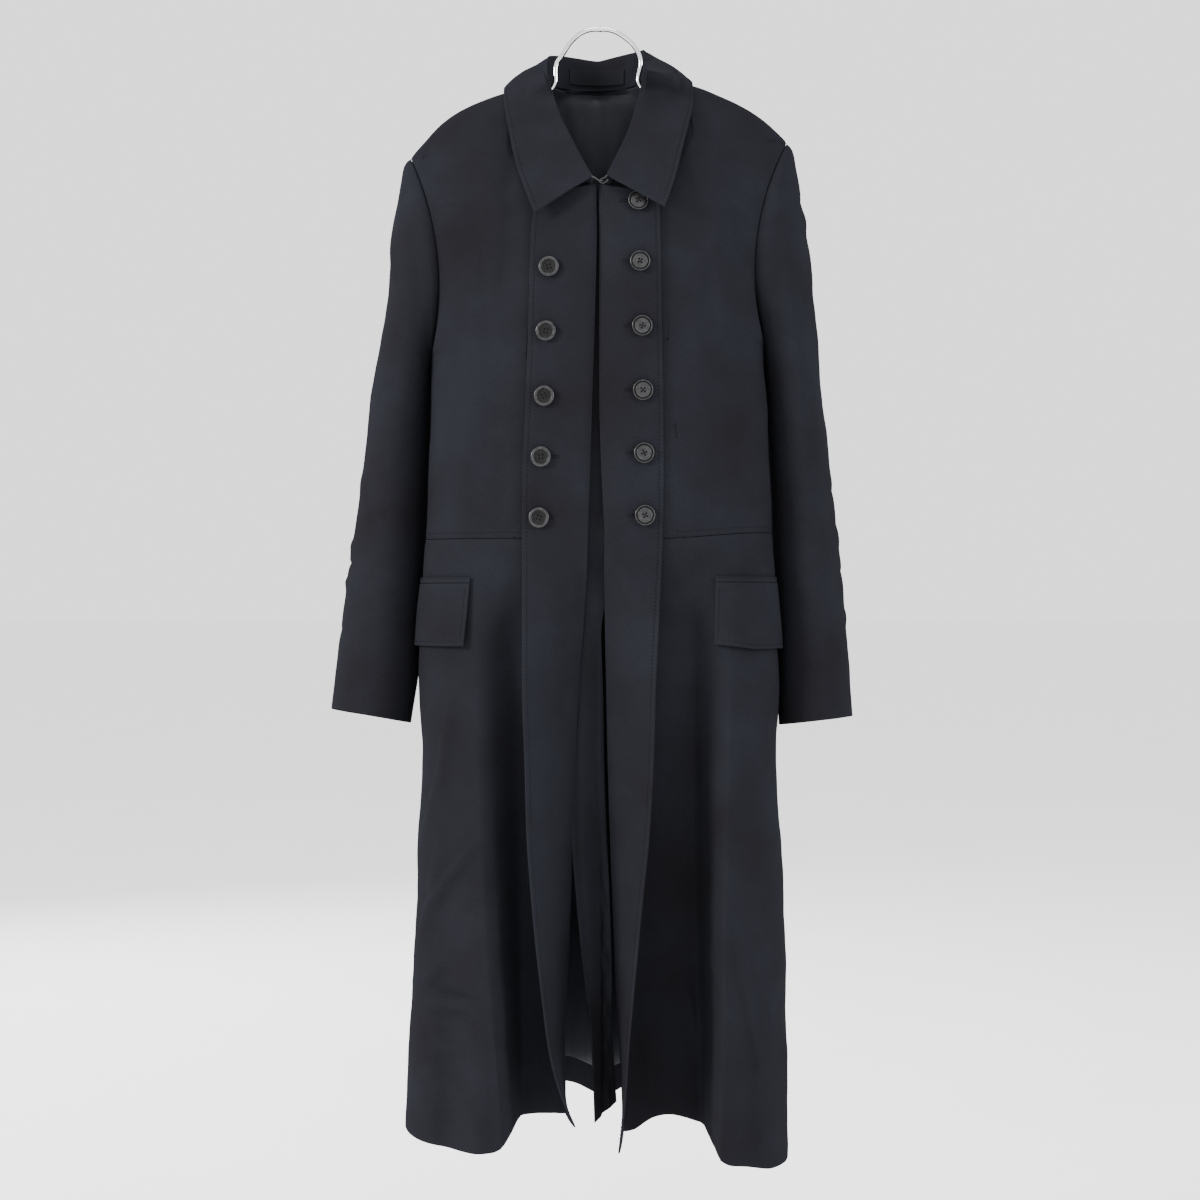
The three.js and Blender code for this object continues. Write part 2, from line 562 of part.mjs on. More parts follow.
// Looks a grid's shown face up from the front: its y at x and z, or null beside it.
function faceOf(grid) {
  const triangles = [];
  for (let i = 0; i < grid.length - 1; i++) {
    for (let j = 0; j < grid[0].length - 1; j++) {
      triangles.push([grid[i][j], grid[i + 1][j], grid[i + 1][j + 1]]);
      triangles.push([grid[i][j], grid[i + 1][j + 1], grid[i][j + 1]]);
    }
  }
  return (x, z) => {
    let foremost = null;
    for (const [a, b, c] of triangles) {
      const whole = (b.z - c.z) * (a.x - c.x) + (c.x - b.x) * (a.z - c.z);
      if (Math.abs(whole) < 1e-9) continue;
      const u = ((b.z - c.z) * (x - c.x) + (c.x - b.x) * (z - c.z)) / whole;
      const v = ((c.z - a.z) * (x - c.x) + (a.x - c.x) * (z - c.z)) / whole;
      if (u < -1e-6 || v < -1e-6 || u + v > 1 + 1e-6) continue;
      const y = u * a.y + v * b.y + (1 - u - v) * c.y;
      if (foremost === null || y < foremost) foremost = y;
    }
    return foremost;
  };
}

// Places columns evenly along a section's cut, so that steep folds get their share of them.
function evenTurns(count, pointAt, last) {
  const fine = 240;
  const points = Array.from({ length: fine + 1 }, (_, i) => pointAt((last * i) / fine));
  const run = [0];
  for (let i = 1; i <= fine; i++) run.push(run[i - 1] + points[i].distanceTo(points[i - 1]));
  return Array.from({ length: count }, (_, k) => {
    const want = (run[fine] * k) / (count - 1);
    const i = Math.max(1, run.findIndex((r) => r >= want - 1e-9));
    return (last * (i - 1 + (want - run[i - 1]) / (run[i] - run[i - 1]))) / fine;
  });
}

// A grid's points moved square to it, to a depth behind its shown face.
function behind(grid, depth, { closed = false, flip = false, cut = () => [] } = {}) {
  const rows = grid.length;
  const columns = grid[0].length;
  const wrap = (j) => (closed ? (j + columns) % columns : Math.min(columns - 1, Math.max(0, j)));
  return grid.map((row, i) =>
    row.map((p, j) => {
      const down = grid[Math.min(rows - 1, i + 1)][j].clone().sub(grid[Math.max(0, i - 1)][j]);
      const along = row[wrap(j + 1)].clone().sub(row[wrap(j - 1)]);
      const n = down.cross(along).normalize();
      for (const across of cut(i, j)) n.addScaledVector(across, -n.dot(across)).normalize();
      return p.clone().addScaledVector(n, flip ? depth : -depth);
    }),
  );
}

// A wall of cloth on a grid of points of its shown face. Its other face lies thick behind it. Where cut gives
// a direction, the wall's edge is cut square to it, so that two walls meet along a seam without crossing.
function wall(grid, thick, options = {}) {
  const closed = options.closed ?? false;
  const rows = grid.length;
  const columns = grid[0].length;
  const wrap = (j) => (closed ? (j + columns) % columns : j);
  const positions = [...grid, ...behind(grid, thick, options)].flat().flatMap((p) => [p.x, p.y, p.z]);
  const at = (back, i, j) => back * rows * columns + i * columns + wrap(j);
  const faces = [];
  const quad = (a, b, c, d) => faces.push(a, b, c, a, c, d);
  const spans = closed ? columns : columns - 1;
  for (let i = 0; i < rows - 1; i++) {
    for (let j = 0; j < spans; j++) {
      quad(at(0, i, j), at(0, i + 1, j), at(0, i + 1, j + 1), at(0, i, j + 1));
      quad(at(1, i, j), at(1, i, j + 1), at(1, i + 1, j + 1), at(1, i + 1, j));
    }
  }
  for (let j = 0; j < spans; j++) {
    quad(at(0, 0, j), at(0, 0, j + 1), at(1, 0, j + 1), at(1, 0, j));
    quad(at(0, rows - 1, j + 1), at(0, rows - 1, j), at(1, rows - 1, j), at(1, rows - 1, j + 1));
  }
  if (!closed) {
    for (let i = 0; i < rows - 1; i++) {
      quad(at(0, i + 1, 0), at(0, i, 0), at(1, i, 0), at(1, i + 1, 0));
      const j = columns - 1;
      quad(at(0, i, j), at(0, i + 1, j), at(1, i + 1, j), at(1, i, j));
    }
  }
  return outward(positions, faces);
}

// A closed mesh with its faces turned outwards.
function outward(positions, faces) {
  const v = (n) => new THREE.Vector3(...positions.slice(3 * n, 3 * n + 3));
  let volume = 0;
  for (let f = 0; f < faces.length; f += 3) {
    volume += v(faces[f]).dot(v(faces[f + 1]).cross(v(faces[f + 2])));
  }
  if (volume < 0) {
    for (let f = 0; f < faces.length; f += 3) [faces[f + 1], faces[f + 2]] = [faces[f + 2], faces[f + 1]];
  }
  const geometry = new THREE.BufferGeometry();
  geometry.setAttribute("position", new THREE.Float32BufferAttribute(positions, 3));
  geometry.setIndex(faces);
  geometry.computeVertexNormals();
  return geometry;
}

const SIDEWAYS = new THREE.Vector3(1, 0, 0);
const SEAM_ACROSS = new THREE.Vector3(0, 1, 0);
const UP = new THREE.Vector3(0, 0, 1);
const steps = (count) => Array.from({ length: count }, (_, i) => i / (count - 1));
const coat = new THREE.Group();
coat.name = "double_breasted_coat";
const finish = {
  cloth: new THREE.MeshStandardMaterial({ color: CLOTH_BLACK, roughness: 0.85, metalness: 0 }),
  lining: new THREE.MeshStandardMaterial({ color: LINING_BLACK, roughness: 0.45, metalness: 0 }),
  button: new THREE.MeshStandardMaterial({ color: BUTTON_BLACK, roughness: 0.35, metalness: 0 }),
  steel: new THREE.MeshStandardMaterial({ color: STEEL, roughness: 0.15, metalness: 1 }),
};

function add(name, geometry, material) {
  const mesh = new THREE.Mesh(geometry, material);
  mesh.name = name;
  coat.add(mesh);
  return mesh;
}

function bodiceGrid(side) {
  const shares = rowShares(side, WAIST[side].z, ROWS.bodiceBelowArmhole);
  return shares.map((down) => BODICE_COLUMNS.map((u) => bodicePoint(side, u, down)));
}

// Where a panel's edge lies on the shoulder seam or the side seam, the way across that seam.
function seamCut(side, share, row, p) {
  if (row === 0 && share >= NECK_SHARE) return [SEAM_ACROSS];
  if (share < 1 || p.z > SLEEVE[side][0].low - NEAR) return [];
  const turn = sideSeam(p.z);
  return [bodyPlain(side, turn + 0.02, p.z).sub(bodyPlain(side, turn - 0.02, p.z)).normalize()];
}

function makeBodice(side) {
  const last = bodice[side].length - 1;
  const cut = (i, j) => [
    ...seamCut(side, BODICE_COLUMNS[j], i, bodice[side][i][j]),
    ...(i === last ? [UP] : []),
  ];
  add(`front_${side}_bodice`, wall(bodice[side], CLOTH, { flip: side === "right", cut }), finish.cloth);
}

function skirtGrid(side) {
  const columns = evenTurns(SKIRT.columns, (turn) => frontPoint(side, turn, SKIRT.levelledAt), SKIRT.sideTurn);
  return steps(ROWS.skirt).map((down) => columns.map((turn) => skirtPoint(side, turn, down)));
}

function makeSkirt(side) {
  const last = skirt[side][0].length - 1;
  const cut = (i, j) => [
    ...(j === last ? seamCut(side, 1, 1, skirt[side][i][j]) : []),
    ...(i === 0 ? [UP] : []),
  ];
  add(`front_${side}_skirt`, wall(skirt[side], CLOTH, { flip: side === "right", cut }), finish.cloth);
}

function backGrid() {
  const right = BACK_COLUMNS.map((u) => ["right", u]);
  const left = [...BACK_COLUMNS].reverse().map((u) => ["left", u]);
  const columns = [...right, ["right", 0], ...left];
  const shares = rowShares("right", BACK_HEM.middle, ROWS.backBelowArmhole);
  return shares.map((down) => columns.map(([side, u]) => backSurface(side, u, down)));
}

function backSurface(side, across, down) {
  const low = mix(BACK_HEM.middle, BACK_HEM[side], smooth(0.15, 1, across));
  return hangingPanel(side, true, across, down, low);
}

function backCut(i, j) {
  const middle = BACK_COLUMNS.length;
  const side = j < middle ? "right" : "left";
  if (j === middle) return [SIDEWAYS];
  return seamCut(side, BACK_COLUMNS[Math.min(j, 2 * middle - j)], i, backPanel[i][j]);
}

// The back's two panels, seamed down its middle.
function makeBack(side) {
  const middle = BACK_COLUMNS.length;
  const [from, to] = side === "right" ? [0, middle] : [middle, 2 * middle];
  const panel = backPanel.map((row) => row.slice(from, to + 1).map((p) => p.clone()));
  for (const row of panel) row[middle - from].x += (SIDES[side] * SEAM) / 2;
  const cut = (i, j) => backCut(i, from + j);
  add(`back_${side}`, wall(panel, CLOTH, { flip: true, cut }), finish.cloth);
}

function makeSleeve(side) {
  const grid = SLEEVE[side].map((ring) =>
    Array.from({ length: SLEEVE_SEGMENTS }, (_, k) => ringPoint(side, ring, k / SLEEVE_SEGMENTS)),
  );
  add(`sleeve_${side}`, wall(grid, CLOTH, { closed: true, flip: side === "left" }), finish.cloth);
}

// The foremost that a face stands about a place, looked at from the front.
function under(face, side, out, z, reach) {
  let y = Infinity;
  for (const dx of [-reach, 0, reach]) {
    for (const dz of [-reach, 0, reach]) {
      y = Math.min(y, face(SIDES[side] * (out + dx), z + dz) ?? Infinity);
    }
  }
  return y === Infinity ? frontY(side, out, z) : y;
}

// A lapel's face: across is 0 at its free edge and 1 at its fold.
function lapelPoint(side, across, down) {
  const l = lapel[side];
  const top = mix(LAPEL_TOP.free, LAPEL_TOP.fold, across);
  const low = mix(LAPEL_HEM[side].free, LAPEL_HEM[side].fold, across);
  const z = mix(top, low, down);
  const out = mix(l.free(z), l.fold(z), across);
  const flush = under(chest[side], side, out, z, 5) - LAY - CLOTH;
  const hung = mix(l.freeY(z), l.foldY(z), across) - LAPEL_BELLY * Math.sin(Math.PI * across) * hanging(z);
  return new THREE.Vector3(SIDES[side] * out, Math.min(flush, mix(flush, hung, hanging(z))), z);
}

function lapelGrid(side) {
  const r = LAPEL_ROWS;
  const levels = [
    ...steps(r.buttoned).map((t) => t * r.waistAbove),
    ...steps(r.hanging).map((t) => mix(r.waistBelow, 1, t ** r.crowd)),
  ];
  return levels.map((down) => steps(r.columns).map((u) => lapelPoint(side, u, down)));
}

function makeLapel(side) {
  add(`lapel_${side}`, wall(lapels[side], CLOTH, { flip: side === "left" }), finish.cloth);
}

function placketPoint(across, down) {
  const z = mix(PLACKET_END.top, mix(PLACKET_END.hem, PLACKET_END.rearHem, across), down);
  const x = mix(placket.front(z), placket.rear(z), across);
  const hung = mix(placket.frontY(z), placket.rearY(z), across);
  const front = chest.left(Math.max(x, lapel.left.fold(z) + 2), z) ?? hung;
  const inside = front + CLOTH + LAY;
  return new THREE.Vector3(x, mix(inside, Math.max(hung, x > 2 ? inside : hung), hanging(z)), z);
}

function makePlacket() {
  const grid = steps(22).map((down) => steps(3).map((u) => placketPoint(u, down)));
  add("under_placket", wall(grid, PLACKET_WALL), finish.cloth);
}

// The collar's section at a station: up the stand, over the roll and down the fall to its edge.
function collarSection(side, at) {
  const seam = collarPoint(side, "seam", at);
  const roll = collarPoint(side, "roll", at);
  const edge = collarPoint(side, "edge", at);
  const fall = edge.clone().sub(roll).normalize();
  const stand = seam.clone().sub(roll).normalize();
  const axis = fall.clone().add(stand).normalize();
  const parted = fall.clone().sub(stand);
  parted.addScaledVector(axis, -parted.dot(axis)).normalize();
  const near = (way, sign) =>
    roll.clone().addScaledVector(way, ROLL_GAP / 2).addScaledVector(parted, (sign * ROLL_GAP) / 2);
  const inner = near(axis, -1);
  const outer = near(axis, 1);
  const points = [seam, seam.clone().lerp(inner, 0.5), inner, roll, outer];
  for (const t of COLLAR_FALL) {
    const p = outer.clone().lerp(edge, t);
    p.z += FALL_BULGE * Math.sin(Math.PI * t) * (1 - smooth(COLLAR_SHOULDER, 0.6, at));
    points.push(clearOfBody(side, p, at, t));
  }
  return points;
}

// Keeps the fall off the body and, near its front end, off the lapel's buttons.
function clearOfBody(side, p, at, t) {
  const out = Math.abs(p.x);
  const lift = FALL_LIFT + LAPEL_LIFT * smooth(0.72, 0.95, at) * smooth(0, 0.4, t);
  const drop = shoulder[side](out) - p.z;
  if (drop <= 0) return p;
  if (at > COLLAR_SHOULDER) p.y = Math.min(p.y, under(worn[side], side, out, p.z, 5) - lift);
  const backY = bodyPlain(side, 2 - turnAt(side, out, p.z), p.z).y;
  if (at < COLLAR_SHOULDER) p.y = Math.max(p.y, backY + lift);
  return p;
}

function collarGrid() {
  const stations = COLLAR.right.map((r) => r.at);
  const right = [...stations].reverse().slice(0, -1).map((at) => collarSection("right", at));
  const middle = collarSection("right", 0).map((p) => p.setX(0));
  const left = stations.slice(1).map((at) => collarSection("left", at));
  return [...right, middle, ...left];
}

function makeCollar() {
  add("collar", wall(collarGrid(), CLOTH), finish.cloth);
}

// The back's lining, just inside it from the neck seam nearly to the hem.
function makeLining() {
  const inside = behind(backPanel.slice(0, -1), CLOTH + LAY * 2, { flip: true, cut: backCut });
  inside[0].forEach((p) => (p.y += LAY));
  add("back_lining", wall(inside, LINING, { flip: true, cut: backCut }), finish.lining);
}

// A flat piece on a skirt front between two turns, from the panel's own points moved out.
function onSkirt(side, columns, rows, liftAt) {
  return rows.map((row) =>
    columns.map((share) => {
      const z = row(share);
      const f = FLAP[side];
      const start = mix(f.start, f.startLow, clamp((f.top - z) / (f.top - f.bottom)));
      const turn = mix(turnAt(side, start, z), f.end, share);
      const p = frontPoint(side, turn, z);
      const ahead = frontPoint(side, turn + 0.01, z).sub(frontPoint(side, turn - 0.01, z));
      const n = new THREE.Vector3(ahead.y, -ahead.x, 0).normalize().multiplyScalar(SIDES[side]);
      p.addScaledVector(n, liftAt(z));
      if (turn < 0.9) p.y = Math.min(p.y, under(skirtFace[side], side, Math.abs(p.x), z, 3) - liftAt(z));
      return p;
    }),
  );
}

function makePocket(side) {
  const f = FLAP[side];
  const columns = steps(9);
  const flip = side === "right";
  const bottom = (share) => mix(f.bottomStart, f.bottom, clamp(share * 3));
  const lift = (z) => CLOTH + mix(FLAP_LIFT.top, FLAP_LIFT.bottom, clamp((f.top - z) / (f.top - f.bottom)));
  const rows = steps(4).map((t) => (share) => mix(f.top - SEAM, bottom(share), t));
  add(`pocket_flap_${side}`, wall(onSkirt(side, columns, rows, lift), CLOTH, { flip }), finish.cloth);
  const weltRows = [WELT.height, 0].map((up) => () => f.top + up);
  const welt = onSkirt(side, columns, weltRows, () => WELT.thick + WELT.lift);
  add(`pocket_welt_${side}`, wall(welt, WELT.thick, { flip }), finish.cloth);
}

// A dished button with a raised rim, facing -Y before it is turned to its lapel.
function buttonGeometry() {
  const b = BUTTON;
  const profile = [
    [0, 0],
    [b.foot, 0],
    [b.radius, b.thick * 0.45],
    [b.crown, b.thick],
    [b.rim, b.thick],
    [b.floor, b.thick - b.dish],
    [0, b.thick - b.dish],
  ].map(([r, h]) => new THREE.Vector2(r, h));
  return new THREE.LatheGeometry(profile, b.sides);
}

function makeButtons(side) {
  BUTTONS[side].forEach((b, i) => {
    const l = lapel[side];
    const top = mix(LAPEL_TOP.free, LAPEL_TOP.fold, 0.5);
    const low = mix(LAPEL_HEM[side].free, LAPEL_HEM[side].fold, 0.5);
    const across = (out, z) => (l.free(z) - out) / (l.free(z) - l.fold(z));
    const at = (out, z) => lapelPoint(side, across(out, z), (top - z) / (top - low));
    const centre = at(b.out, b.z);
    const along = at(b.out + 6, b.z).sub(at(b.out - 6, b.z)).multiplyScalar(SIDES[side]);
    const up = at(b.out, b.z + 6).sub(at(b.out, b.z - 6));
    const face = along.clone().cross(up).normalize();
    if (face.y > 0) face.negate();
    const mesh = add(`button_${side}_${i + 1}`, buttonGeometry(), finish.button);
    mesh.quaternion.setFromUnitVectors(new THREE.Vector3(0, 1, 0), face);
    mesh.position.copy(centre.addScaledVector(face, BUTTON_LIFT));
  });
}

// A woven label on the inside of the stand, left bare.
function makeLabel() {
  const rows = [0, 1].map((t) => mix(LABEL.top, LABEL.bottom, t));
  const stand = faceOf(collarGrid().map((section) => section.slice(0, 4)));
  const grid = rows.map((z) =>
    steps(7).map((u) => {
      const x = mix(LABEL.from, LABEL.to, u);
      return new THREE.Vector3(x, stand(x, z) - LAY - LABEL.thick, z);
    }),
  );
  add("neck_label", wall(grid, LABEL.thick), finish.lining);
}

function rod(points, radius, sides, count) {
  const shape = new THREE.Shape();
  shape.absarc(0, 0, radius, 0, Math.PI * 2, false);
  const path = new THREE.CatmullRomCurve3(points, false, "centripetal");
  return new THREE.ExtrudeGeometry(shape, {
    steps: count,
    extrudePath: path,
    curveSegments: sides,
    bevelEnabled: false,
  });
}

// Half of the hanger's path, from the dome's top to an arm's tip.
function hangerHalf(side) {
  const path = [DOME_TOP, ...DOME[side]];
  const neckOut = DOME[side].at(-1).out;
  for (const step of ARM.steps) {
    const out = mix(neckOut, ARM.tip, step);
    const slope = (shoulder[side](out + 2) - shoulder[side](out - 2)) / 4;
    path.push({ out, drop: ARM.clearance * Math.hypot(1, slope) - shoulder[side](out) });
  }
  path.push({ out: ARM.tip + 4, drop: path.at(-1).drop + ARM.turnDown });
  return path.map((p) => new THREE.Vector3(SIDES[side] * p.out, ROD.y, -p.drop));
}

function makeHanger() {
  const points = [...hangerHalf("right").reverse(), ...hangerHalf("left").slice(1)];
  add("hanger_rod", rod(points, ROD.radius, ROD.sides, 2 * ROD.steps), finish.steel);
}

// The hook and the eye that close the collar, each a bent wire.
function makeHookAndEye() {
  const h = NECK_HOOK;
  const placed = (path) => path.map((p) => new THREE.Vector3(p.x, h.y - p.ahead, h.z + p.up));
  add("neck_hook", rod(placed(HOOK_PATH), h.wire, h.sides, h.steps), finish.steel);
  add("neck_eye", rod(placed(EYE_PATH), h.wire, h.sides, h.steps), finish.steel);
}

const backPanel = backGrid();
const bodice = { right: bodiceGrid("right"), left: bodiceGrid("left") };
const skirt = { right: skirtGrid("right"), left: skirtGrid("left") };
const bodiceFace = { right: faceOf(bodice.right), left: faceOf(bodice.left) };
const skirtFace = { right: faceOf(skirt.right), left: faceOf(skirt.left) };
const chest = {
  right: (x, z) => bodiceFace.right(x, z) ?? skirtFace.right(x, z),
  left: (x, z) => bodiceFace.left(x, z) ?? skirtFace.left(x, z),
};
const lapels = { right: lapelGrid("right"), left: lapelGrid("left") };
const lapelFace = { right: faceOf(lapels.right), left: faceOf(lapels.left) };
const worn = {
  right: (x, z) => lapelFace.right(x, z) ?? chest.right(x, z),
  left: (x, z) => lapelFace.left(x, z) ?? chest.left(x, z),
};

makeLining();
for (const side of ["right", "left"]) {
  makeBack(side);
  makeBodice(side);
  makeSkirt(side);
  makeSleeve(side);
  makeLapel(side);
  makePocket(side);
  makeButtons(side);
}
makePlacket();
makeCollar();
makeLabel();
makeHookAndEye();
makeHanger();

export default coat;
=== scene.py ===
import math

import bmesh
import bpy
import numpy as np
from mathutils import Matrix, Vector
from mathutils.bvhtree import BVHTree


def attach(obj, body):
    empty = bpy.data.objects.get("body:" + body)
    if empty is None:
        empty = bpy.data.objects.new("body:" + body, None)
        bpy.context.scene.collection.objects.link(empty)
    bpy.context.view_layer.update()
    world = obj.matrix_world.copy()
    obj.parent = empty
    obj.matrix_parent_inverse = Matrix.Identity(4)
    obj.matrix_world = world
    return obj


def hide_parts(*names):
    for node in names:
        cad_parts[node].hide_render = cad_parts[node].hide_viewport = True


# A long double-breasted coat on its rod hanger. The origin is the top of the hanger's dome, X runs to the
# wearer's left, -Y is the coat's front and Z is up.
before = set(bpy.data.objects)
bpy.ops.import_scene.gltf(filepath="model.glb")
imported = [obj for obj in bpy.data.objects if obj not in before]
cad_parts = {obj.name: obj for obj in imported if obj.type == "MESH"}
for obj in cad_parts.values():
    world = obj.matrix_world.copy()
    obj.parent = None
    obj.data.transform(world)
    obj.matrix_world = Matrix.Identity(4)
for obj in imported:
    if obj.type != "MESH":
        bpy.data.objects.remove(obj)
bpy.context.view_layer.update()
scene = bpy.context.scene

MM = 0.001
CAMERA_BACK = 2.4
CAMERA_HEIGHT = -0.613
VIEW_WIDTH = 1.284
SENSOR = 36
FLOOR_HEIGHT = -1.42
FLOOR_WIDTH = 160

# Lights: place, size, power and colour, all aimed at the coat's middle.
LIGHTS = [
    {"name": "key", "at": (-2.9, -1.5, 0.7), "size": 1.0, "power": 190, "colour": (1.0, 0.99, 0.97)},
    {"name": "fill", "at": (2.9, -1.6, 0.4), "size": 1.4, "power": 105, "colour": (0.92, 0.96, 1.0)},
    {"name": "top", "at": (0.0, -0.8, 2.4), "size": 1.6, "power": 45, "colour": (1.0, 1.0, 1.0)},
    {"name": "behind", "at": (-1.6, 2.8, 0.6), "size": 1.8, "power": 120, "colour": (1.0, 1.0, 1.0)},
]
AIM = (0.0, 0.0, -0.6)
WORLD_STRENGTH = 1.8


def make_camera():
    data = bpy.data.cameras.new("camera")
    data.sensor_width = SENSOR
    data.lens = SENSOR * CAMERA_BACK / VIEW_WIDTH
    camera = bpy.data.objects.new("camera", data)
    camera.location = (0, -CAMERA_BACK, CAMERA_HEIGHT)
    camera.rotation_euler = (math.pi / 2, 0, 0)
    scene.collection.objects.link(camera)
    scene.camera = camera


def make_lights():
    for spec in LIGHTS:
        data = bpy.data.lights.new(spec["name"], "AREA")
        data.shape = "DISK"
        data.size = spec["size"]
        data.energy = spec["power"]
        data.color = spec["colour"]
        lamp = bpy.data.objects.new(spec["name"], data)
        lamp.location = spec["at"]
        way = Vector(AIM) - Vector(spec["at"])
        lamp.rotation_euler = way.to_track_quat("-Z", "Y").to_euler()
        scene.collection.objects.link(lamp)
    world = bpy.data.worlds.new("pale")
    world.use_nodes = True
    background = world.node_tree.nodes["Background"]
    background.inputs["Color"].default_value = (1, 1, 1, 1)
    background.inputs["Strength"].default_value = WORLD_STRENGTH
    scene.world = world


make_camera()
make_lights()

# Cloth thicknesses and gaps, in millimetres as all tables below.
CLOTH = 2.0
LINING = 1.2
SEAM = 0.4
LAY = 0.6
# How far a panel's edge stands off a seam's middle, as a share of SEAM, where it is open or shut.
SEAM_OPEN = 0.6
SEAM_SHUT = 0.05
SIDES = {"right": -1, "left": 1}
BOTH = ("right", "left")


def table(columns, *rows):
    names = columns.split()
    return [dict(zip(names, row)) for row in rows]


# The body, level by level: half widths, and how deep its front and back stand.
SECTIONS = table(
    "z right left front back",
    (-50, 212, 208, 70, 66),
    (-150, 208, 204, 74, 70),
    (-230, 196, 190, 77, 75),
    (-352, 179, 175, 79, 80),
    (-422, 181, 179, 79, 78),
    (-549, 186, 184, 80, 75),
    (-630, 191, 188, 85, 80),
    (-719, 193, 190.5, 92, 87),
    (-776, 189, 188, 98, 92),
    (-871, 194.5, 193, 106, 100),
    (-960, 196, 197, 114, 108),
    (-1048, 202, 198, 121, 115),
    (-1143, 207, 200, 126, 120),
    (-1200, 208, 200, 128, 121),
)
ROUND = 2.6
SWELL_DROP = 230
SWELL_CURVE = 1.6
SWELL_FULLNESS = 1.7

SHOULDER = table(
    "out right left",
    (0, -52, -46),
    (57, -60, -54),
    (103, -71, -64),
    (126, -79, -73),
    (150, -90, -84),
    (170, -104, -96),
    (188, -123, -111),
    (203, -141, -127),
    (240, -230, -200),
)
WAIST_Z = -549
WAIST_RISE = {"right": 0, "left": 7}
WAIST_RISE_OVER = (60, 180)
WAIST_GAP = SEAM / 16
WAIST_DIP = {"depth": 0.9, "half": 4}
HEM_LEVEL = -1140
SKIRT_TURN = 1.2
SIDE_SEAM = table("z turn", (-352, 1.0), (-450, 1.12), (-549, 1.2), (-1200, 1.2))
HEM = table(
    "out right left",
    (20, -1155, -1173),
    (60, -1159, -1163),
    (95, -1176, -1172),
    (130, -1178, -1193),
    (170, -1175, -1200),
    (205, -1171, -1203),
)
BACK_HEM = {"right": -1168, "left": -1199, "middle": -1153}

# The deep valleys beside the lapels: how far the cloth falls back, from the fold's lip to its foot.
VALLEY = {
    "right": table(
        "z depth lip foot",
        (-560, 0, 132, 84),
        (-650, 20, 132, 84),
        (-800, 46, 128, 82),
        (-950, 71, 119, 81),
        (-1080, 93, 107, 81),
        (-1170, 102, 99, 82),
    ),
    "left": table(
        "z depth lip foot",
        (-560, 0, 138, 96),
        (-650, 24, 138, 96),
        (-800, 55, 134, 96),
        (-950, 84, 130, 100),
        (-1080, 110, 127, 106),
        (-1190, 124, 123, 109),
    ),
}
FRONT_FOLDS = {
    "right": table("x half depth top", (-158, 16, 9, -800), (-124, 13, -6, -880)),
    "left": table("x half depth top", (150, 15, 8, -760), (178, 12, -6, -700)),
}
BACK_FOLDS = table(
    "x half depth top",
    (4, 24, 66, -730),
    (-66, 26, -10, -640),
    (-112, 24, 30, -660),
    (74, 28, -8, -600),
    (122, 22, 26, -620),
    (160, 16, -8, -700),
)
BACK_FOLDS_FROM = (1.15, 1.4)
BACK_SEAM = {"x": -1, "depth": 0.8, "half": 3, "gap": SEAM / 8}

# The lapels: where their free edge and their fold run.
LAPEL_HANGS = (-545, -650)
FOLD_REACH = (2, 34)
LAPEL = {
    "right": table(
        "z free fold free_y fold_y",
        (-186, 67, 3.4, -80, -80),
        (-236, 72, 3.2, -80, -80),
        (-310, 74, 4.8, -80, -80),
        (-400, 77, 7.6, -80, -80),
        (-490, 80.5, 10.4, -80, -82),
        (-549, 81, 12.4, -83, -78),
        (-630, 80.6, 16, -88, -66),
        (-704, 80, 21.6, -92, -57),
        (-780, 77, 25, -96, -51),
        (-848, 75, 27, -98, -47),
        (-938, 68, 30.5, -101, -42),
        (-1025, 58, 34.5, -103, -39),
        (-1075, 51, 36.5, -104, -37),
        (-1115, 40.5, 36, -105, -36),
        (-1158, 22, 36, -105, -36),
    ),
    "left": table(
        "z free fold free_y fold_y",
        (-186, 61.5, -1.6, -80, -80),
        (-236, 63, -1.2, -80, -80),
        (-310, 64, -1.4, -80, -80),
        (-400, 65.5, -1.2, -80, -80),
        (-490, 66, 1.6, -80, -80),
        (-549, 65, 4.4, -84, -80),
        (-630, 61, 4.6, -90, -66),
        (-704, 57, 6, -94, -56),
        (-780, 54.5, 7.5, -97, -52),
        (-848, 50.5, 9.5, -99, -48),
        (-938, 41, 13, -102, -42),
        (-1025, 32.5, 16.5, -104, -40),
        (-1075, 28, 19.5, -105, -39),
        (-1115, 25.5, 22, -105, -39),
        (-1182, 18, 24, -106, -40),
    ),
}
# Above the waist both folds curl back towards the gap between them: how far, and from how far out.
FOLD_CURL = {"right": (3.0, 8), "left": (6.5, 13)}
CURL_TOP = (200, 215)
CURL_FOOT = (500, 549)
FOLD_PULL = 0.3
LAPEL_TOP = {"fold": -180, "free": -191}
LAPEL_HEM = {"right": {"fold": -1152, "free": -1152}, "left": {"fold": -1168, "free": -1179}}
LAPEL_BELLY = 5
LAPEL_EASE = 0.9
LAPEL_EDGE_EASE = 0.35
HUNG_BY_FOLD = (5, 18)
HUNG_BELOW = (570, 620)
FOLD_ROLL = 1.6
ROLL_HALF = 2.2
ROLL_ENDS = (500, 560)

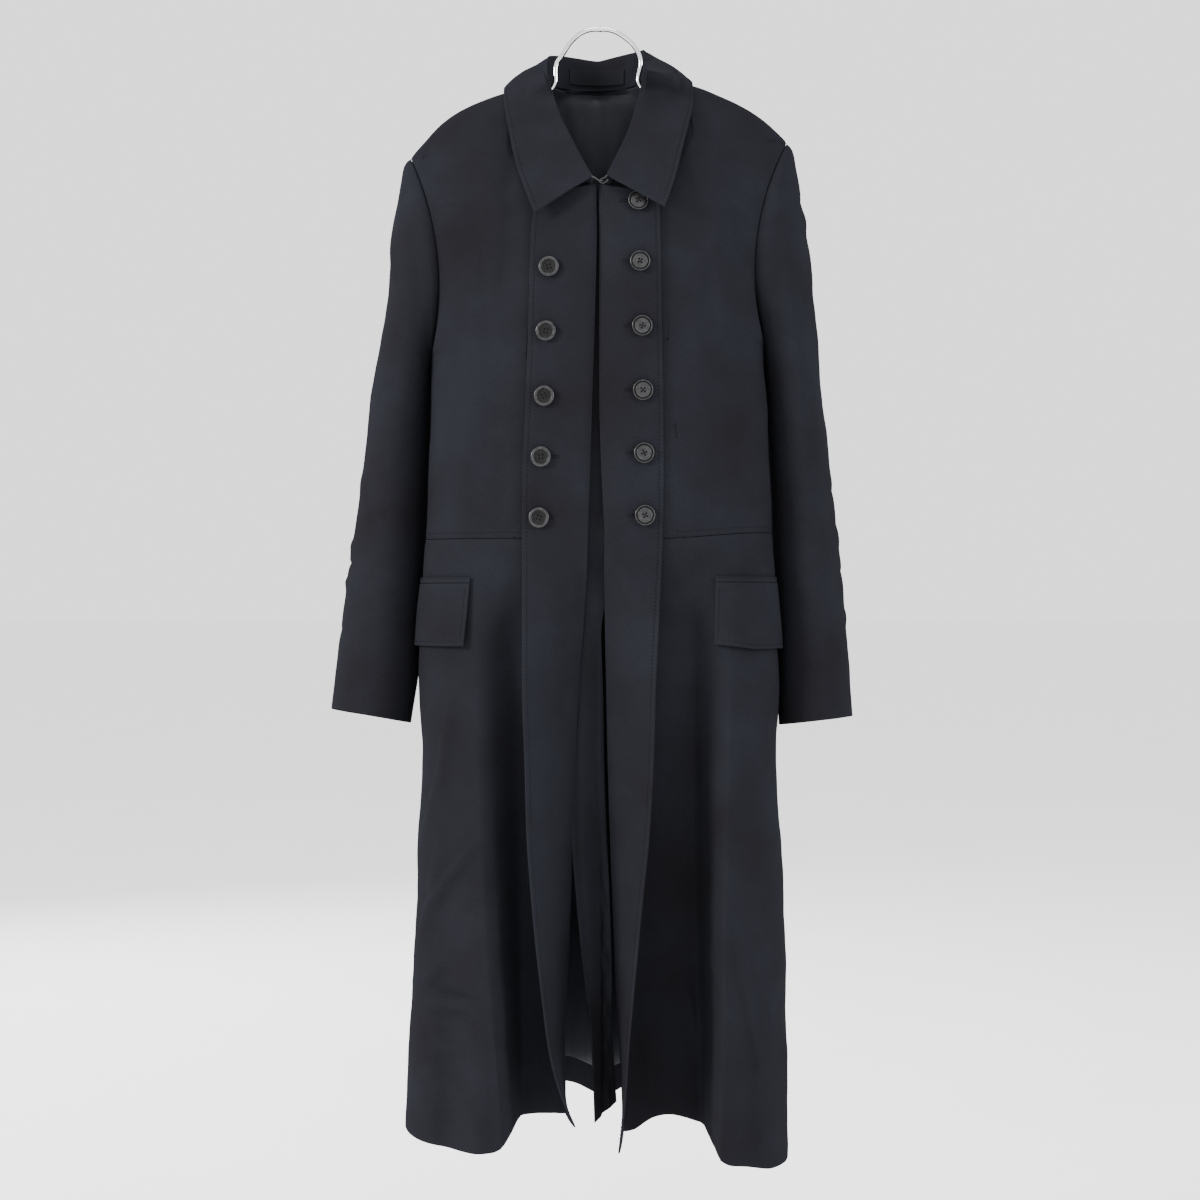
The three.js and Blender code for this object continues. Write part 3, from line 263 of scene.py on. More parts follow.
PLACKET = table(
    "z front rear front_y rear_y",
    (-200, -5.5, 26, -70, -70),
    (-310, -7.5, 26, -73, -73),
    (-400, -11.5, 24, -73.5, -73),
    (-490, -14, 23, -74, -73),
    (-549, -18, 22, -73, -71),
    (-650, -25, 1.6, -64, -58),
    (-704, -28, 3.5, -60, -49),
    (-780, -30, 5, -59, -43),
    (-848, -30, 7, -58, -40),
    (-938, -24, 11, -56, -36),
    (-1020, -15, 12.5, -54, -34),
    (-1062, -9, 12.5, -54, -29),
    (-1100, -7, 15, -54, -27),
    (-1160, -5, 19, -54, -25),
)
PLACKET_THICK = 1.6
PLACKET_EASE = 0.3
PLACKET_BEHIND = 2
PLACKET_CURL = {"depth": 8, "half": 7, "starts": (580, 680), "ends": (960, 1060)}
PLACKET_END = {"top": -204, "hem": -1160, "rear_hem": -1144}

# The collar from the back (0) to its front end (1): seam, roll and outer edge, each as out, y and z.
COLLAR = {
    "right": table(
        "at seam roll edge",
        (0, (3, 55, -57), (3, 59, -23), (3, 83, -84)),
        (0.12, (34, 45, -57), (36, 49, -20), (56, 76, -83)),
        (0.25, (53, 20, -57), (55, 20, -26), (93, 38, -74)),
        (0.34, (56, 0, -58), (57, -1, -44), (103, 0, -64)),
        (0.42, (55, -16, -80), (52, -20, -68), (102, -22, -84)),
        (0.55, (48, -36, -114), (42, -43, -102), (96, -50, -119)),
        (0.7, (36, -51, -143), (29, -58, -131), (88, -66, -157)),
        (0.85, (22, -62, -166), (17, -69, -156), (78, -78, -187)),
        (1, (8, -68, -182), (7, -76, -174), (68, -84, -213)),
    ),
    "left": table(
        "at seam roll edge",
        (0, (-3, 55, -57), (-3, 59, -23), (-3, 83, -84)),
        (0.12, (30, 45, -55), (35, 49, -16), (52, 76, -78)),
        (0.25, (45, 20, -53), (47, 20, -19), (88, 38, -67)),
        (0.34, (47, 0, -54), (47, -1, -38), (99, 0, -57)),
        (0.42, (48, -16, -74), (45, -20, -60), (99, -22, -82)),
        (0.55, (44, -36, -106), (38, -41, -92), (93, -50, -114)),
        (0.7, (34, -51, -137), (28, -57, -125), (86, -64, -142)),
        (0.85, (21, -62, -163), (17, -68, -150), (78, -76, -174)),
        (1, (8, -68, -182), (6, -76, -173), (67, -85, -207)),
    ),
}
COLLAR_SHOULDER = 0.34
NECK_SHARE = 0.3
NECK_END = 57
NECK_BLEND = 125
TOP_BLEND = 60
ARMHOLE_DRAW = 0.55
ARMHOLE_EASE = 0.3
UNDERARM_BLEND = 90
SHOULDER_BAND = 0.02
ROLL_GAP = 5.2
FALL_BULGE = 8
FALL_LIFT = 6.5
FALL_STEPS = (0.2, 0.45, 0.72, 1)
BULGE_END = 0.6
LAPEL_LIFT = 5
LAPEL_LIFT_FROM = (0.72, 0.95)
SHOULDER_TURN = 0.06

# The sleeves, ring by ring from the armhole to the cuff.
SLEEVE_COLUMNS = "outer high inner low mid half bow lift"
SLEEVE = {
    "right": table(
        SLEEVE_COLUMNS,
        (203, -141, 179, -352, 0, 38, 19, 0),
        (209.5, -151, 180, -357, 3, 45, 15, 0),
        (217.2, -182, 181, -363, 9, 52, 9, 0),
        (224.2, -232, 181.5, -371, 15, 57, 5, 0),
        (229.7, -290, 182, -385, 21, 60, 2, 0),
        (239.2, -347, 182.5, -404, 26, 62, 0, 0),
        (249.7, -416, 183, -434, 30, 63, 0, 0),
        (259.7, -495, 186, -506, 32, 61, 0, 0),
        (271.7, -576, 190, -588, 30, 58, 0, 0),
        (280.7, -653, 193, -666, 24, 55, 0, 0),
        (289.7, -730, 203.5, -745, 14, 51, 0, 4),
    ),
    "left": table(
        SLEEVE_COLUMNS,
        (200, -125, 175, -341, 0, 38, 22, 0),
        (206.5, -135, 176, -348, 3, 45, 17, 0),
        (214.2, -170, 176, -356, 9, 52, 10, 0),
        (222.2, -220, 176, -366, 15, 57, 5, 0),
        (229.7, -280, 176.5, -381, 21, 60, 2, 0),
        (235.7, -340, 178, -402, 26, 62, 0, 0),
        (241.7, -416, 180.5, -434, 30, 63, 0, 0),
        (251.2, -490, 184, -506, 32, 61, 0, 0),
        (261.2, -580, 187.5, -588, 30, 58, 0, 0),
        (267.7, -658, 190.5, -666, 24, 55, 0, 0),
        (272.2, -738, 192.5, -747, 14, 51, 0, 2.5),
    ),
}
SLEEVE_PEAK = 1.3
SLEEVE_TUCK = ((7, 3.6), (1.2, 2.6))
# Places on a sleeve are shares of the way round it or down it. Depths and the girth are in millimetres.
SLEEVE_GIRTH = 360
INNER_ARM = ((0.30, 0.42), (0.58, 0.70))
SLEEVE_HEAD = {"height": 1.4, "at": 0.2, "half": 0.1}
ARMHOLE_DIP = {"depth": 0.4, "half": 0.06}
HIND_SEAM = {"depth": 0.7, "at": 0.79, "half": 0.006}

FLAP = {
    "right": {"start": 134.5, "start_low": 139.5, "end": 0.99, "top": -595, "bottom": -661, "corner": -661},
    "left": {"start": 120, "start_low": 121, "end": 0.97, "top": -594, "bottom": -664, "corner": -659},
}
FLAP_LIFT = {"top": 1.1, "bottom": 4.3}
FLAP_CORNER = 3
FLAP_ON_SIDE = (0.84, 0.92)
WELT = {"height": 5.5, "thick": 1.6, "lift": 1.1}

BUTTONS = {
    "right": table("out z", (52.7, -268.5), (55.8, -335), (57.8, -402), (60.9, -465), (63, -528)),
    "left": table(
        "out z", (39.2, -199), (41.3, -263), (43.4, -329.5), (44.4, -396), (45.4, -461), (46.5, -525.5)
    ),
}
BUTTON_RADIUS = 10.5
BUTTON_THICK = 3.6
BUTTON_LIFT = 0.82
PUCKER = {"dip": 1.2, "half": 12, "ridge": 0.5, "ridge_at": 21, "ridge_half": 7}

# Creases, each from one place to another on its panel, with the half width, height and sideways bow.
FRONT_CREASES = table(
    "x0 z0 x1 z1 half height bow",
    (-156, -716, -176, -846, 7, 4.0, 2),
    (-126, -862, -180, -940, 6, 4.8, -2),
    (-160, -988, -186, -1014, 5, 3.4, 0),
    (-182, -1020, -116, -1021, 4, -4.2, 1),
    (-178, -1036, -122, -1031, 6, 3.4, 2),
    (-172, -1068, -128, -1076, 5, 2.6, -2),
    (112, -976, 137, -1056, 6, 1.8, 2),
    (88, -1016, 105, -1096, 6, 1.6, 2),
    (-118, -205, -116, -480, 16, -2.6, 3),
    (141, -164, 142, -438, 16, -2.6, -3),
    (158, -172, 198, -200, 7, -2.0, 2),
    (150, -184, 190, -216, 8, 1.4, 2),
    (-168, -870, -196, -1010, 9, 3.2, 3),
    (-150, -890, -186, -960, 7, 2.6, -2),
    (-172, -800, -190, -880, 6, 2.4, 1),
    (-160, -760, -168, -860, 9, 1.8, 2),
    (-196, -1020, -172, -1006, 5, 2.4, 0),
    (-178, -1041, -126, -1040, 4, -2.2, 2),
    (-176, -1050, -130, -1049, 6, 1.6, 2),
    (-180, -1085, -142, -1078, 7, 1.6, 3),
    (-170, -1102, -132, -1112, 8, -1.5, 3),
    (-150, -1130, -116, -1140, 7, 1.2, 2),
    (-182, -1130, -150, -1150, 7, -1.2, 2),
    (-178, -960, -136, -964, 5, -1.5, 2),
    (-192, -930, -152, -905, 8, -1.8, 0),
    (140, -960, 172, -1120, 7, 2.0, -3),
    (128, -900, 142, -1050, 6, -1.3, 2),
    (150, -700, 168, -900, 12, 1.4, 4),
    (188, -940, 150, -1060, 8, -1.2, 3),
    (176, -1010, 160, -1130, 7, 1.4, 2),
    (186, -860, 160, -1010, 9, 1.3, -3),
    (105, -640, 112, -860, 9, 1.5, -2),
    (-92, -150, -108, -330, 14, -2.2, 4),
    (-120, -170, -96, -420, 13, 1.8, -4),
    (-98, -330, -104, -530, 11, -1.6, -3),
    (-140, -400, -150, -540, 12, 1.2, 3),
    (-70, -110, -104, -230, 12, 1.4, 3),
    (150, -150, 104, -320, 14, -1.5, 5),
    (112, -170, 136, -400, 13, 1.6, 4),
    (150, -330, 146, -540, 12, -1.2, -4),
    (88, -120, 120, -240, 11, 1.2, -3),
    (100, -300, 96, -520, 14, 1.0, 3),
)
BACK_CREASES = table(
    "x0 z0 x1 z1 half height bow",
    (-150, -170, -60, -300, 14, 2.0, 8),
    (150, -165, 66, -310, 13, 1.8, -8),
    (-120, -240, -96, -470, 15, -1.6, -6),
    (118, -250, 92, -480, 15, -1.6, 6),
    (-40, -120, -30, -420, 12, 1.4, 4),
    (44, -140, 36, -450, 12, 1.2, -4),
    (-150, -560, -166, -820, 11, 1.8, 5),
    (152, -570, 168, -800, 11, 1.7, -5),
    (-170, -900, -140, -985, 8, -1.8, 3),
    (166, -930, 136, -1010, 8, -1.8, -3),
    (-100, -980, -60, -1100, 9, 1.6, 3),
    (96, -900, 60, -1080, 9, 1.5, -3),
    (-150, -1050, -104, -1062, 6, -1.4, 2),
    (148, -1078, 108, -1070, 6, -1.4, 2),
    (-30, -640, -60, -900, 12, 1.6, -5),
    (34, -660, 66, -880, 12, 1.5, 5),
)
# On a sleeve, round is millimetres round from the middle of its front, outwards.
SLEEVE_CREASES = {
    "right": table(
        "x0 z0 x1 z1 half height bow",
        (95, -190, 20, -300, 10, 2.0, 6),
        (60, -170, -20, -330, 11, -1.8, -6),
        (110, -300, 70, -420, 10, 1.8, 5),
        (118, -560, 40, -578, 5, -2.4, 5),
        (110, -545, 30, -560, 7, 1.6, 4),
        (104, -592, 46, -606, 6, 1.8, -4),
        (-30, -520, 60, -548, 7, -1.6, 5),
        (96, -640, 30, -655, 6, -1.6, 4),
        (80, -480, 30, -530, 9, 1.4, -4),
        (20, -600, 10, -720, 11, 1.3, 4),
        (-60, -420, -80, -600, 11, 1.2, 5),
        (170, -480, 130, -560, 8, 2.0, 4),
        (-150, -520, -90, -575, 8, -1.8, 4),
        (150, -600, 178, -560, 7, 1.6, 3),
    ),
    "left": table(
        "x0 z0 x1 z1 half height bow",
        (100, -175, 30, -205, 8, -2.6, 6),
        (110, -190, 34, -222, 9, 2.0, 5),
        (90, -230, 10, -340, 11, 1.6, 6),
        (40, -200, -30, -340, 11, -1.6, -6),
        (112, -380, 64, -470, 10, 1.8, 5),
        (120, -470, 60, -500, 7, -1.8, 5),
        (122, -520, 40, -556, 8, 1.8, 6),
        (116, -560, 50, -590, 6, -2.0, 5),
        (-20, -520, 50, -560, 8, 1.4, 5),
        (106, -620, 40, -640, 7, 1.5, 4),
        (20, -610, 6, -730, 11, 1.2, -4),
        (-70, -430, -84, -610, 11, 1.2, 5),
        (170, -470, 128, -550, 8, 2.0, 4),
        (-150, -510, -88, -570, 8, -1.8, 4),
    ),
}
LAPEL_CREASES = table(
    "x0 z0 x1 z1 half height bow",
    (-60, -560, -40, -760, 12, 1.2, 3),
    (-30, -640, -48, -900, 10, -1.0, -3),
    (-64, -800, -44, -1000, 10, 1.2, 3),
    (20, -560, 38, -740, 12, 1.1, 3),
    (46, -660, 30, -880, 10, -1.0, 3),
    (18, -820, 30, -1040, 9, 1.0, -2),
)

# Where creases and waves fade towards a panel's edges, in shares of its width or length.
FADE = {
    "top": (0, 0.05),
    "front_side": (0.9, 1),
    "front_armhole": (0.88, 0.97),
    "back_side": (0.86, 0.98),
    "back_seam": (-0.02, 0.05),
    "sleeve_head": (0.1, 0.3),
    "hind_seam": (0.02, 0.1),
    "lapel_free": (0, 0.18),
    "lapel_fold": (0.85, 1),
    "collar_fall": (0.5, 0.7),
    "collar_edge": (0.93, 1),
}
BACK_HALVES_MEET = (0, 0.14)
BACK_HEM_RISE = (0.15, 1)
SLEEVE_EASE = 0.6
INNER_ARM_CALM = 0.85
COLLAR_EDGE_CALM = 0.6
FRONT_CREASE_GAIN = 1.25
FRONT_CREASES_FROM = (6, 40)
# Each crease is steep on one side, and rises and dies away along its length.
CREASE_STEEP = 0.6
CREASE_RISE = (-0.2, 0.3)
CREASE_FALL = (0.55, 1.15)

# The low waves of each face, slow and fine: how high, how wide and where they start.
WAVES = {
    "front": ((1.1, 46, 0.3), (0.3, 15, 1.1)),
    "back": ((1.1, 52, 2.2), (0.25, 16, 0.6)),
    "sleeve_right": ((0.9, 40, 0.2), (0.3, 14, 0.9)),
    "sleeve_left": ((0.9, 40, 1.4), (0.3, 14, 0.9)),
    "lapel": ((0.5, 34, 0.8),),
    "placket": ((0.6, 30, 0.4),),
    "collar": ((0.7, 36, 1.9),),
    "flap": ((0.4, 26, 0.5),),
}

# The grids of the faces, and how far inside its edges each has one more column or row.
GRID_ROWS = table(
    "face columns inset rows row_inset",
    ("bodice", 86, 0.008, 66, 0.004),
    ("skirt", 128, 0.004, 136, 0.003),
    ("back", 92, 0.006, 116, 0.004),
    ("sleeve", 100, 0, 150, 0.003),
    ("lapel", 46, 0.02, 240, 0.0015),
    ("placket", 22, 0.03, 170, 0.002),
    ("collar", 64, 0, 62, 0.012),
    ("flap", 46, 0.012, 30, 0.03),
    ("welt", 46, 0.012, 4, 0.03),
    ("neck_strip", 44, 0.02, 12, 0.06),
)
GRID = {row["face"]: row for row in GRID_ROWS}
ARMHOLE_ROWS = 60
NECK_COLUMNS = 34


def track(rows, key, column):
    """A smooth curve without overshoot through one column of a table, against another."""
    ordered = sorted(rows, key=lambda row: row[key])
    x = np.array([row[key] for row in ordered], float)
    y = np.array([row[column] for row in ordered], float)
    rise = np.diff(y) / np.diff(x)
    slope = np.zeros_like(y)
    slope[0], slope[-1] = rise[0], rise[-1]
    both = rise[:-1] * rise[1:]
    total = np.where(both > 0, rise[:-1] + rise[1:], 1)
    slope[1:-1] = np.where(both > 0, 2 * both / total, 0)

    def at(value):
        v = np.clip(np.asarray(value, float), x[0], x[-1])
        i = np.clip(np.searchsorted(x, v, side="left") - 1, 0, len(x) - 2)
        span = x[i + 1] - x[i]
        t = (v - x[i]) / span
        ends = y[i] * (1 + 2 * t) * (1 - t) ** 2 + y[i + 1] * t * t * (3 - 2 * t)
        return ends + span * t * (1 - t) * (slope[i] * (1 - t) - slope[i + 1] * t)

    return at


def tracks(rows, key):
    return {name: track(rows, key, name) for name in rows[0] if name != key}


def collar_tracks(rows):
    lines = {}
    for name in ("seam", "roll", "edge"):
        flat = [[{"at": r["at"], "v": r[name][i]} for r in rows] for i in range(3)]
        lines[name] = [track(column, "at", "v") for column in flat]
    return lines


def mix(a, b, t):
    return a + (b - a) * t


def clamp(t):
    return np.clip(t, 0, 1)


def smooth(start, end, v):
    t = clamp((v - start) / (end - start))
    return t * t * (3 - 2 * t)


def bell(off, half):
    """A rounded hump's height at a distance from its middle."""
    return np.exp(-((off / half) ** 2))


def points(x, y, z):
    return np.stack(np.broadcast_arrays(x, y, z), -1).astype(float)


section = tracks(SECTIONS, "z")
shoulder = tracks(SHOULDER, "out")
side_seam = track(SIDE_SEAM, "z", "turn")
hem = tracks(HEM, "out")
valley = {side: tracks(VALLEY[side], "z") for side in BOTH}
lapel = {side: tracks(LAPEL[side], "z") for side in BOTH}
collar = {side: collar_tracks(COLLAR[side]) for side in BOTH}
placket = tracks(PLACKET, "z")


# The body's surface, as in the solids. Turn 0 is the middle of the front, 1 the side and 2 the middle of
# the back.
def body_plain(side, turn, z):
    angle = turn * math.pi / 2
    x = SIDES[side] * section[side](z) * np.abs(np.sin(angle)) ** (2 / ROUND)
    drop = clamp((shoulder[side](np.abs(x)) - z) / SWELL_DROP)
    full = (1 - (1 - drop) ** SWELL_CURVE) ** (1 / SWELL_FULLNESS)
    depth = np.abs(np.cos(angle)) ** (2 / ROUND) * full
    y = np.where(turn < 1, -section["front"](z) * depth, section["back"](z) * depth)
    return points(x, y, z)


def turn_at(side, out, z):
    share = np.minimum(1, np.maximum(0, out) / section[side](z))
    return np.arcsin(share ** (ROUND / 2)) * 2 / math.pi


def hanging(z):
    return smooth(-LAPEL_HANGS[0], -LAPEL_HANGS[1], -z)


def soft_folds(folds, x, z, hem_z):
    y = 0
    for f in folds:
        down = smooth(-f["top"], -hem_z, -z)
        y = y + f["depth"] * down * bell(x - f["x"], f["half"])
    return y


def front_point(side, turn, z):
    p = body_plain(side, turn, z)
    out = np.abs(p[..., 0])
    v = valley[side]
    on_front = np.where(turn < 1, 1, 0)
    fallen = v["depth"](z) * (1 - smooth(v["foot"](z), v["lip"](z), out))
    fallen = fallen + soft_folds(FRONT_FOLDS[side], p[..., 0], z, HEM[0][side])
    p[..., 1] += on_front * fallen
    near_fold = (1 - smooth(*FOLD_REACH, out - lapel[side]["fold"](z))) * hanging(z)
    p[..., 1] = mix(p[..., 1], lapel[side]["fold_y"](z) + CLOTH + LAY, near_fold)
    return p


def back_point(side, turn, z):
    p = body_plain(side, turn, z)
    folds = soft_folds(BACK_FOLDS, p[..., 0], z, BACK_HEM["middle"])
    p[..., 1] -= smooth(*BACK_FOLDS_FROM, turn) * folds
    return p


def ring_point(side, ring, around):
    """A point of the armhole or of a sleeve ring: 0 is its outer end, 0.25 the front, 0.5 its inner end."""
    angle = around * 2 * math.pi
    t = (1 - np.cos(angle)) / 2
    out = mix(ring["outer"], ring["inner"], t) - ring["bow"] * np.sin(angle) ** 2
    breadth = np.sign(np.sin(angle)) * np.abs(np.sin(angle)) ** np.where(t < 0.5, SLEEVE_PEAK, 1)
    z = mix(ring["high"], ring["low"], t) + ring["lift"] * np.sin(angle)
    return points(SIDES[side] * out, ring["mid"] - ring["half"] * breadth, z)


def collar_point(side, line, at):
    out, y, z = (coordinate(at) for coordinate in collar[side][line])
    return points(SIDES[side] * out, y, z)


def ring_share(side, z):
    ring = SLEEVE[side][0]
    return clamp((ring["high"] - z) / (ring["high"] - ring["low"]))


def edge_turn(side, back, z):
    ring = SLEEVE[side][0]
    share = ring_share(side, z)
    edge = ring_point(side, ring, np.arccos(1 - 2 * share) / (2 * math.pi))
    turn = turn_at(side, np.abs(edge[..., 0]), z)
    turn = mix(turn, side_seam(ring["low"]), smooth(-ring["low"] - UNDERARM_BLEND, -ring["low"], -z))
    turn = 2 - turn if back else turn
    return np.where(z < ring["low"], side_seam(z), turn)


def column_turn(side, back, share, z, top_out, top_z):
    seam = edge_turn(side, back, z)
    even = mix(2, seam, share) if back else share * seam
    fade = (1 - clamp((top_z - z) / TOP_BLEND)) ** 2
    out = mix(np.abs(body_plain(side, even, z)[..., 0]), top_out, fade)
    turn = turn_at(side, out, z)
    turn = 2 - turn if back else turn
    return np.where(z < SLEEVE[side][0]["low"], even, turn)


def hanging_panel(side, back, across, down, low):
    """A panel that hangs from neckline and shoulder and is bounded by the armhole and the side seam."""
    ring = SLEEVE[side][0]
    shape = back_point if back else front_point
    facing = 1 if back else -1
    share = np.minimum(across / NECK_SHARE, 1)
    neck = collar_point(side, "seam", COLLAR_SHOULDER * share if back else mix(1, COLLAR_SHOULDER, share))
    neck[..., 2] -= 1
    on_neck = across < NECK_SHARE
    on_seam = mix(NECK_END, ring["outer"], (across - NECK_SHARE) / (1 - NECK_SHARE))
    top_out = np.where(on_neck, np.abs(neck[..., 0]), on_seam)
    top_z = np.where(on_neck, neck[..., 2], shoulder[side](on_seam))
    top_z = np.where(across == 1, ring["high"], top_z)
    z = mix(top_z, low, down)
    p = shape(side, column_turn(side, back, across, z, top_out, top_z), z)
    start = shape(side, column_turn(side, back, across, top_z, top_out, top_z), top_z + 0 * z)
    fade = on_neck * (1 - clamp((top_z - z) / NECK_BLEND)) ** 2
    p += (neck - start) * fade[..., None] * [1, 1, 0]
    open_by = SEAM_OPEN * mix(SEAM_SHUT, 1, smooth(0, SHOULDER_BAND, down))
    p[..., 1] += facing * SEAM * np.where(across == 1, SEAM_SHUT, open_by)
    return drawn_to_armhole(side, back, p, across)


def drawn_to_armhole(side, back, p, across):
    """Moves a panel's outer part so that its edge follows the armhole."""
    ring = SLEEVE[side][0]
    shape = back_point if back else front_point
    facing = 1 if back else -1
    z = p[..., 2]
    own = shape(side, column_turn(side, back, 1, z, ring["outer"], ring["high"]), z)
    own[..., 1] += facing * SEAM * SEAM_OPEN
    ring_down = ring_share(side, z)
    angle = np.arccos(1 - 2 * ring_down)
    edge = ring_point(side, ring, (2 * math.pi - angle if back else angle) / (2 * math.pi))
    edge[..., 0] -= SIDES[side] * SEAM * (1 + ARMHOLE_EASE * (1 - ring_down) ** 2)
    edge[..., 1] += facing * SEAM * SEAM_OPEN
    draw = smooth(ARMHOLE_DRAW, 1, across) * (z > ring["low"])
    p += (edge - own) * draw[..., None] * [1, 1, 0]
    return p


def waist_z(side, out):
    return WAIST_Z + WAIST_RISE[side] * smooth(*WAIST_RISE_OVER, out)


def bodice_point(side, across, down):
    waist_out = np.abs(body_plain(side, across * side_seam(WAIST_Z), WAIST_Z)[..., 0])
    p = hanging_panel(side, False, across, down, waist_z(side, waist_out) + WAIST_GAP)
    z = p[..., 2]
    pull = 1 - smooth(0, FOLD_PULL, across)
    on_neck = (1 - clamp((LAPEL_TOP["fold"] - z) / NECK_BLEND)) ** 2
    p[..., 0] += SIDES[side] * (lapel[side]["fold"](z) + 1) * pull * (1 - on_neck)
    deep, reach = FOLD_CURL[side]
    inwards = SIDES[side] * p[..., 0] - lapel[side]["fold"](z)
    p[..., 1] += deep * bell(inwards, reach) * smooth(*CURL_TOP, -z) * (1 - smooth(*CURL_FOOT, -z))
    return p


def skirt_point(side, turn, down):
    top_out = np.abs(body_plain(side, turn, WAIST_Z)[..., 0])
    top = waist_z(side, top_out) - WAIST_GAP
    hem_out = np.abs(body_plain(side, turn, HEM_LEVEL)[..., 0])
    low = mix(hem[side](hem_out), BACK_HEM[side], smooth(1, SKIRT_TURN, turn))
    z = mix(top, low, down)
    edge = turn_at(side, lapel[side]["fold"](z) + 1, z)
    p = front_point(side, mix(edge, side_seam(z), turn / SKIRT_TURN), z)
    p[..., 1] -= SEAM * np.where(turn > SKIRT_TURN - 0.001, SEAM_SHUT, SEAM_OPEN)
    return p


# Cloth faces: grids of points, rows down and columns across, in millimetres.
def unit(v):
    return v / np.maximum(np.linalg.norm(v, axis=-1, keepdims=True), 1e-9)


def grid_normals(face, closed=False, flip=False, cut=None):
    down = np.gradient(face, axis=0)
    along = (np.roll(face, -1, 1) - np.roll(face, 1, 1)) if closed else np.gradient(face, axis=1)
    n = unit(np.cross(down, along)) * (-1 if flip else 1)
    if cut is not None:
        n = unit(n - cut * np.sum(n * cut, -1, keepdims=True))
    return n


def crease_lift(rows, x, z):
    """How far a table's creases lift the cloth."""
    lift = 0 * (x + z)
    for c in rows:
        run = math.hypot(c["x1"] - c["x0"], c["z1"] - c["z0"])
        ux, uz = (c["x1"] - c["x0"]) / run, (c["z1"] - c["z0"]) / run
        along = ((x - c["x0"]) * ux + (z - c["z0"]) * uz) / run
        aside = (z - c["z0"]) * ux - (x - c["x0"]) * uz
        held = clamp(along)
        aside = aside - c["bow"] * 4 * held * (1 - held)
        taper = smooth(*CREASE_RISE, along) * (1 - smooth(*CREASE_FALL, along))
        half = np.where(aside > 0, c["half"], c["half"] * CREASE_STEEP)
        lift = lift + c["height"] * taper * bell(aside, half)
    return lift


def waves(p, size, start):
    """Low uneven waves without a pattern, from -1 to 1."""
    x, y, z = (p[..., i] / size + start for i in range(3))
    a = np.sin(1.7 * x + 0.9 * y + 1.3 * np.sin(0.83 * z + start))
    b = np.sin(2.9 * z - 1.1 * x + 1.7 * np.sin(1.31 * x + 0.7 * y))
    c = np.sin(1.1 * z + 2.3 * y + 1.9 * np.sin(0.57 * x - 0.9 * z))
    return (a + b + c) / 3


def wavy(place, p):
    return sum(height * waves(p, size, start) for height, size, start in WAVES[place])


def lifted(face, lift, closed=False, flip=False):
    return face + grid_normals(face, closed, flip) * lift[..., None]


def shares(count, inset):
    """Even shares from 0 to 1, with one more just inside each end that keeps the edge crisp."""
    return np.concatenate([[0, inset], np.linspace(0, 1, count)[1:-1], [1 - inset, 1]])


def columns_of(face):
    return shares(GRID[face]["columns"], GRID[face]["inset"])[None, :]


def rows_of(face):
    return shares(GRID[face]["rows"], GRID[face]["row_inset"])[:, None]


def panel_rows(side, low, face):
    """Rows that follow the armhole, then run on evenly to the panel's lower edge."""
    ring = SLEEVE[side][0]
    even = np.linspace(0, 1, ARMHOLE_ROWS + 1)
    eased = mix(even, (1 - np.cos(even * math.pi)) / 2, 0.6)
    down = eased * (ring["high"] - ring["low"]) / (ring["high"] - low)
    rest = np.linspace(down[-1], 1, GRID[face]["rows"] + 1)[1:]
    return np.concatenate([down, rest[:-1], [1 - GRID[face]["row_inset"], 1]])[:, None]


def skirt_turns(side):
    """Columns evenly along the hem's line, so that the deep folds get their share of them."""
    fine = np.linspace(0, SKIRT_TURN, 900)
    line = front_point(side, fine, np.full_like(fine, HEM_LEVEL))
    run = np.concatenate([[0], np.cumsum(np.linalg.norm(np.diff(line, axis=0), axis=1))])
    return np.interp(columns_of("skirt") * run[-1], run, fine)


def front_lift(side, p, share):
    x, z = p[..., 0], p[..., 2]
    creases = FRONT_CREASE_GAIN * crease_lift(FRONT_CREASES, x, z) + wavy("front", p)
    at_seam = -WAIST_DIP["depth"] * bell(z - waist_z(side, np.abs(x)), WAIST_DIP["half"])
    from_fold = smooth(*FRONT_CREASES_FROM, SIDES[side] * x - lapel[side]["fold"](z))
    return creases * from_fold * (1 - smooth(*FADE["front_side"], share)) + at_seam


def make_bodice_face(side):
    at_neck = np.linspace(0, NECK_SHARE, NECK_COLUMNS)
    across = np.unique(np.concatenate([columns_of("bodice")[0], at_neck]))[None, :]
    down = panel_rows(side, WAIST_Z, "bodice")
    face = bodice_point(side, across, down)
    by_armhole = smooth(*FADE["front_armhole"], across) * (face[..., 2] > SLEEVE[side][0]["low"])
    fade = smooth(*FADE["top"], down) * (1 - by_armhole)
    return lifted(face, front_lift(side, face, across) * fade, flip=side == "right"), across[0]


def make_skirt_face(side):
    turn = skirt_turns(side)
    face = skirt_point(side, turn, rows_of("skirt"))
    return lifted(face, front_lift(side, face, turn / SKIRT_TURN), flip=side == "right")


def back_half(side, across, down):
    low = mix(BACK_HEM["middle"], BACK_HEM[side], smooth(*BACK_HEM_RISE, across))
    return hanging_panel(side, True, across, down, low)


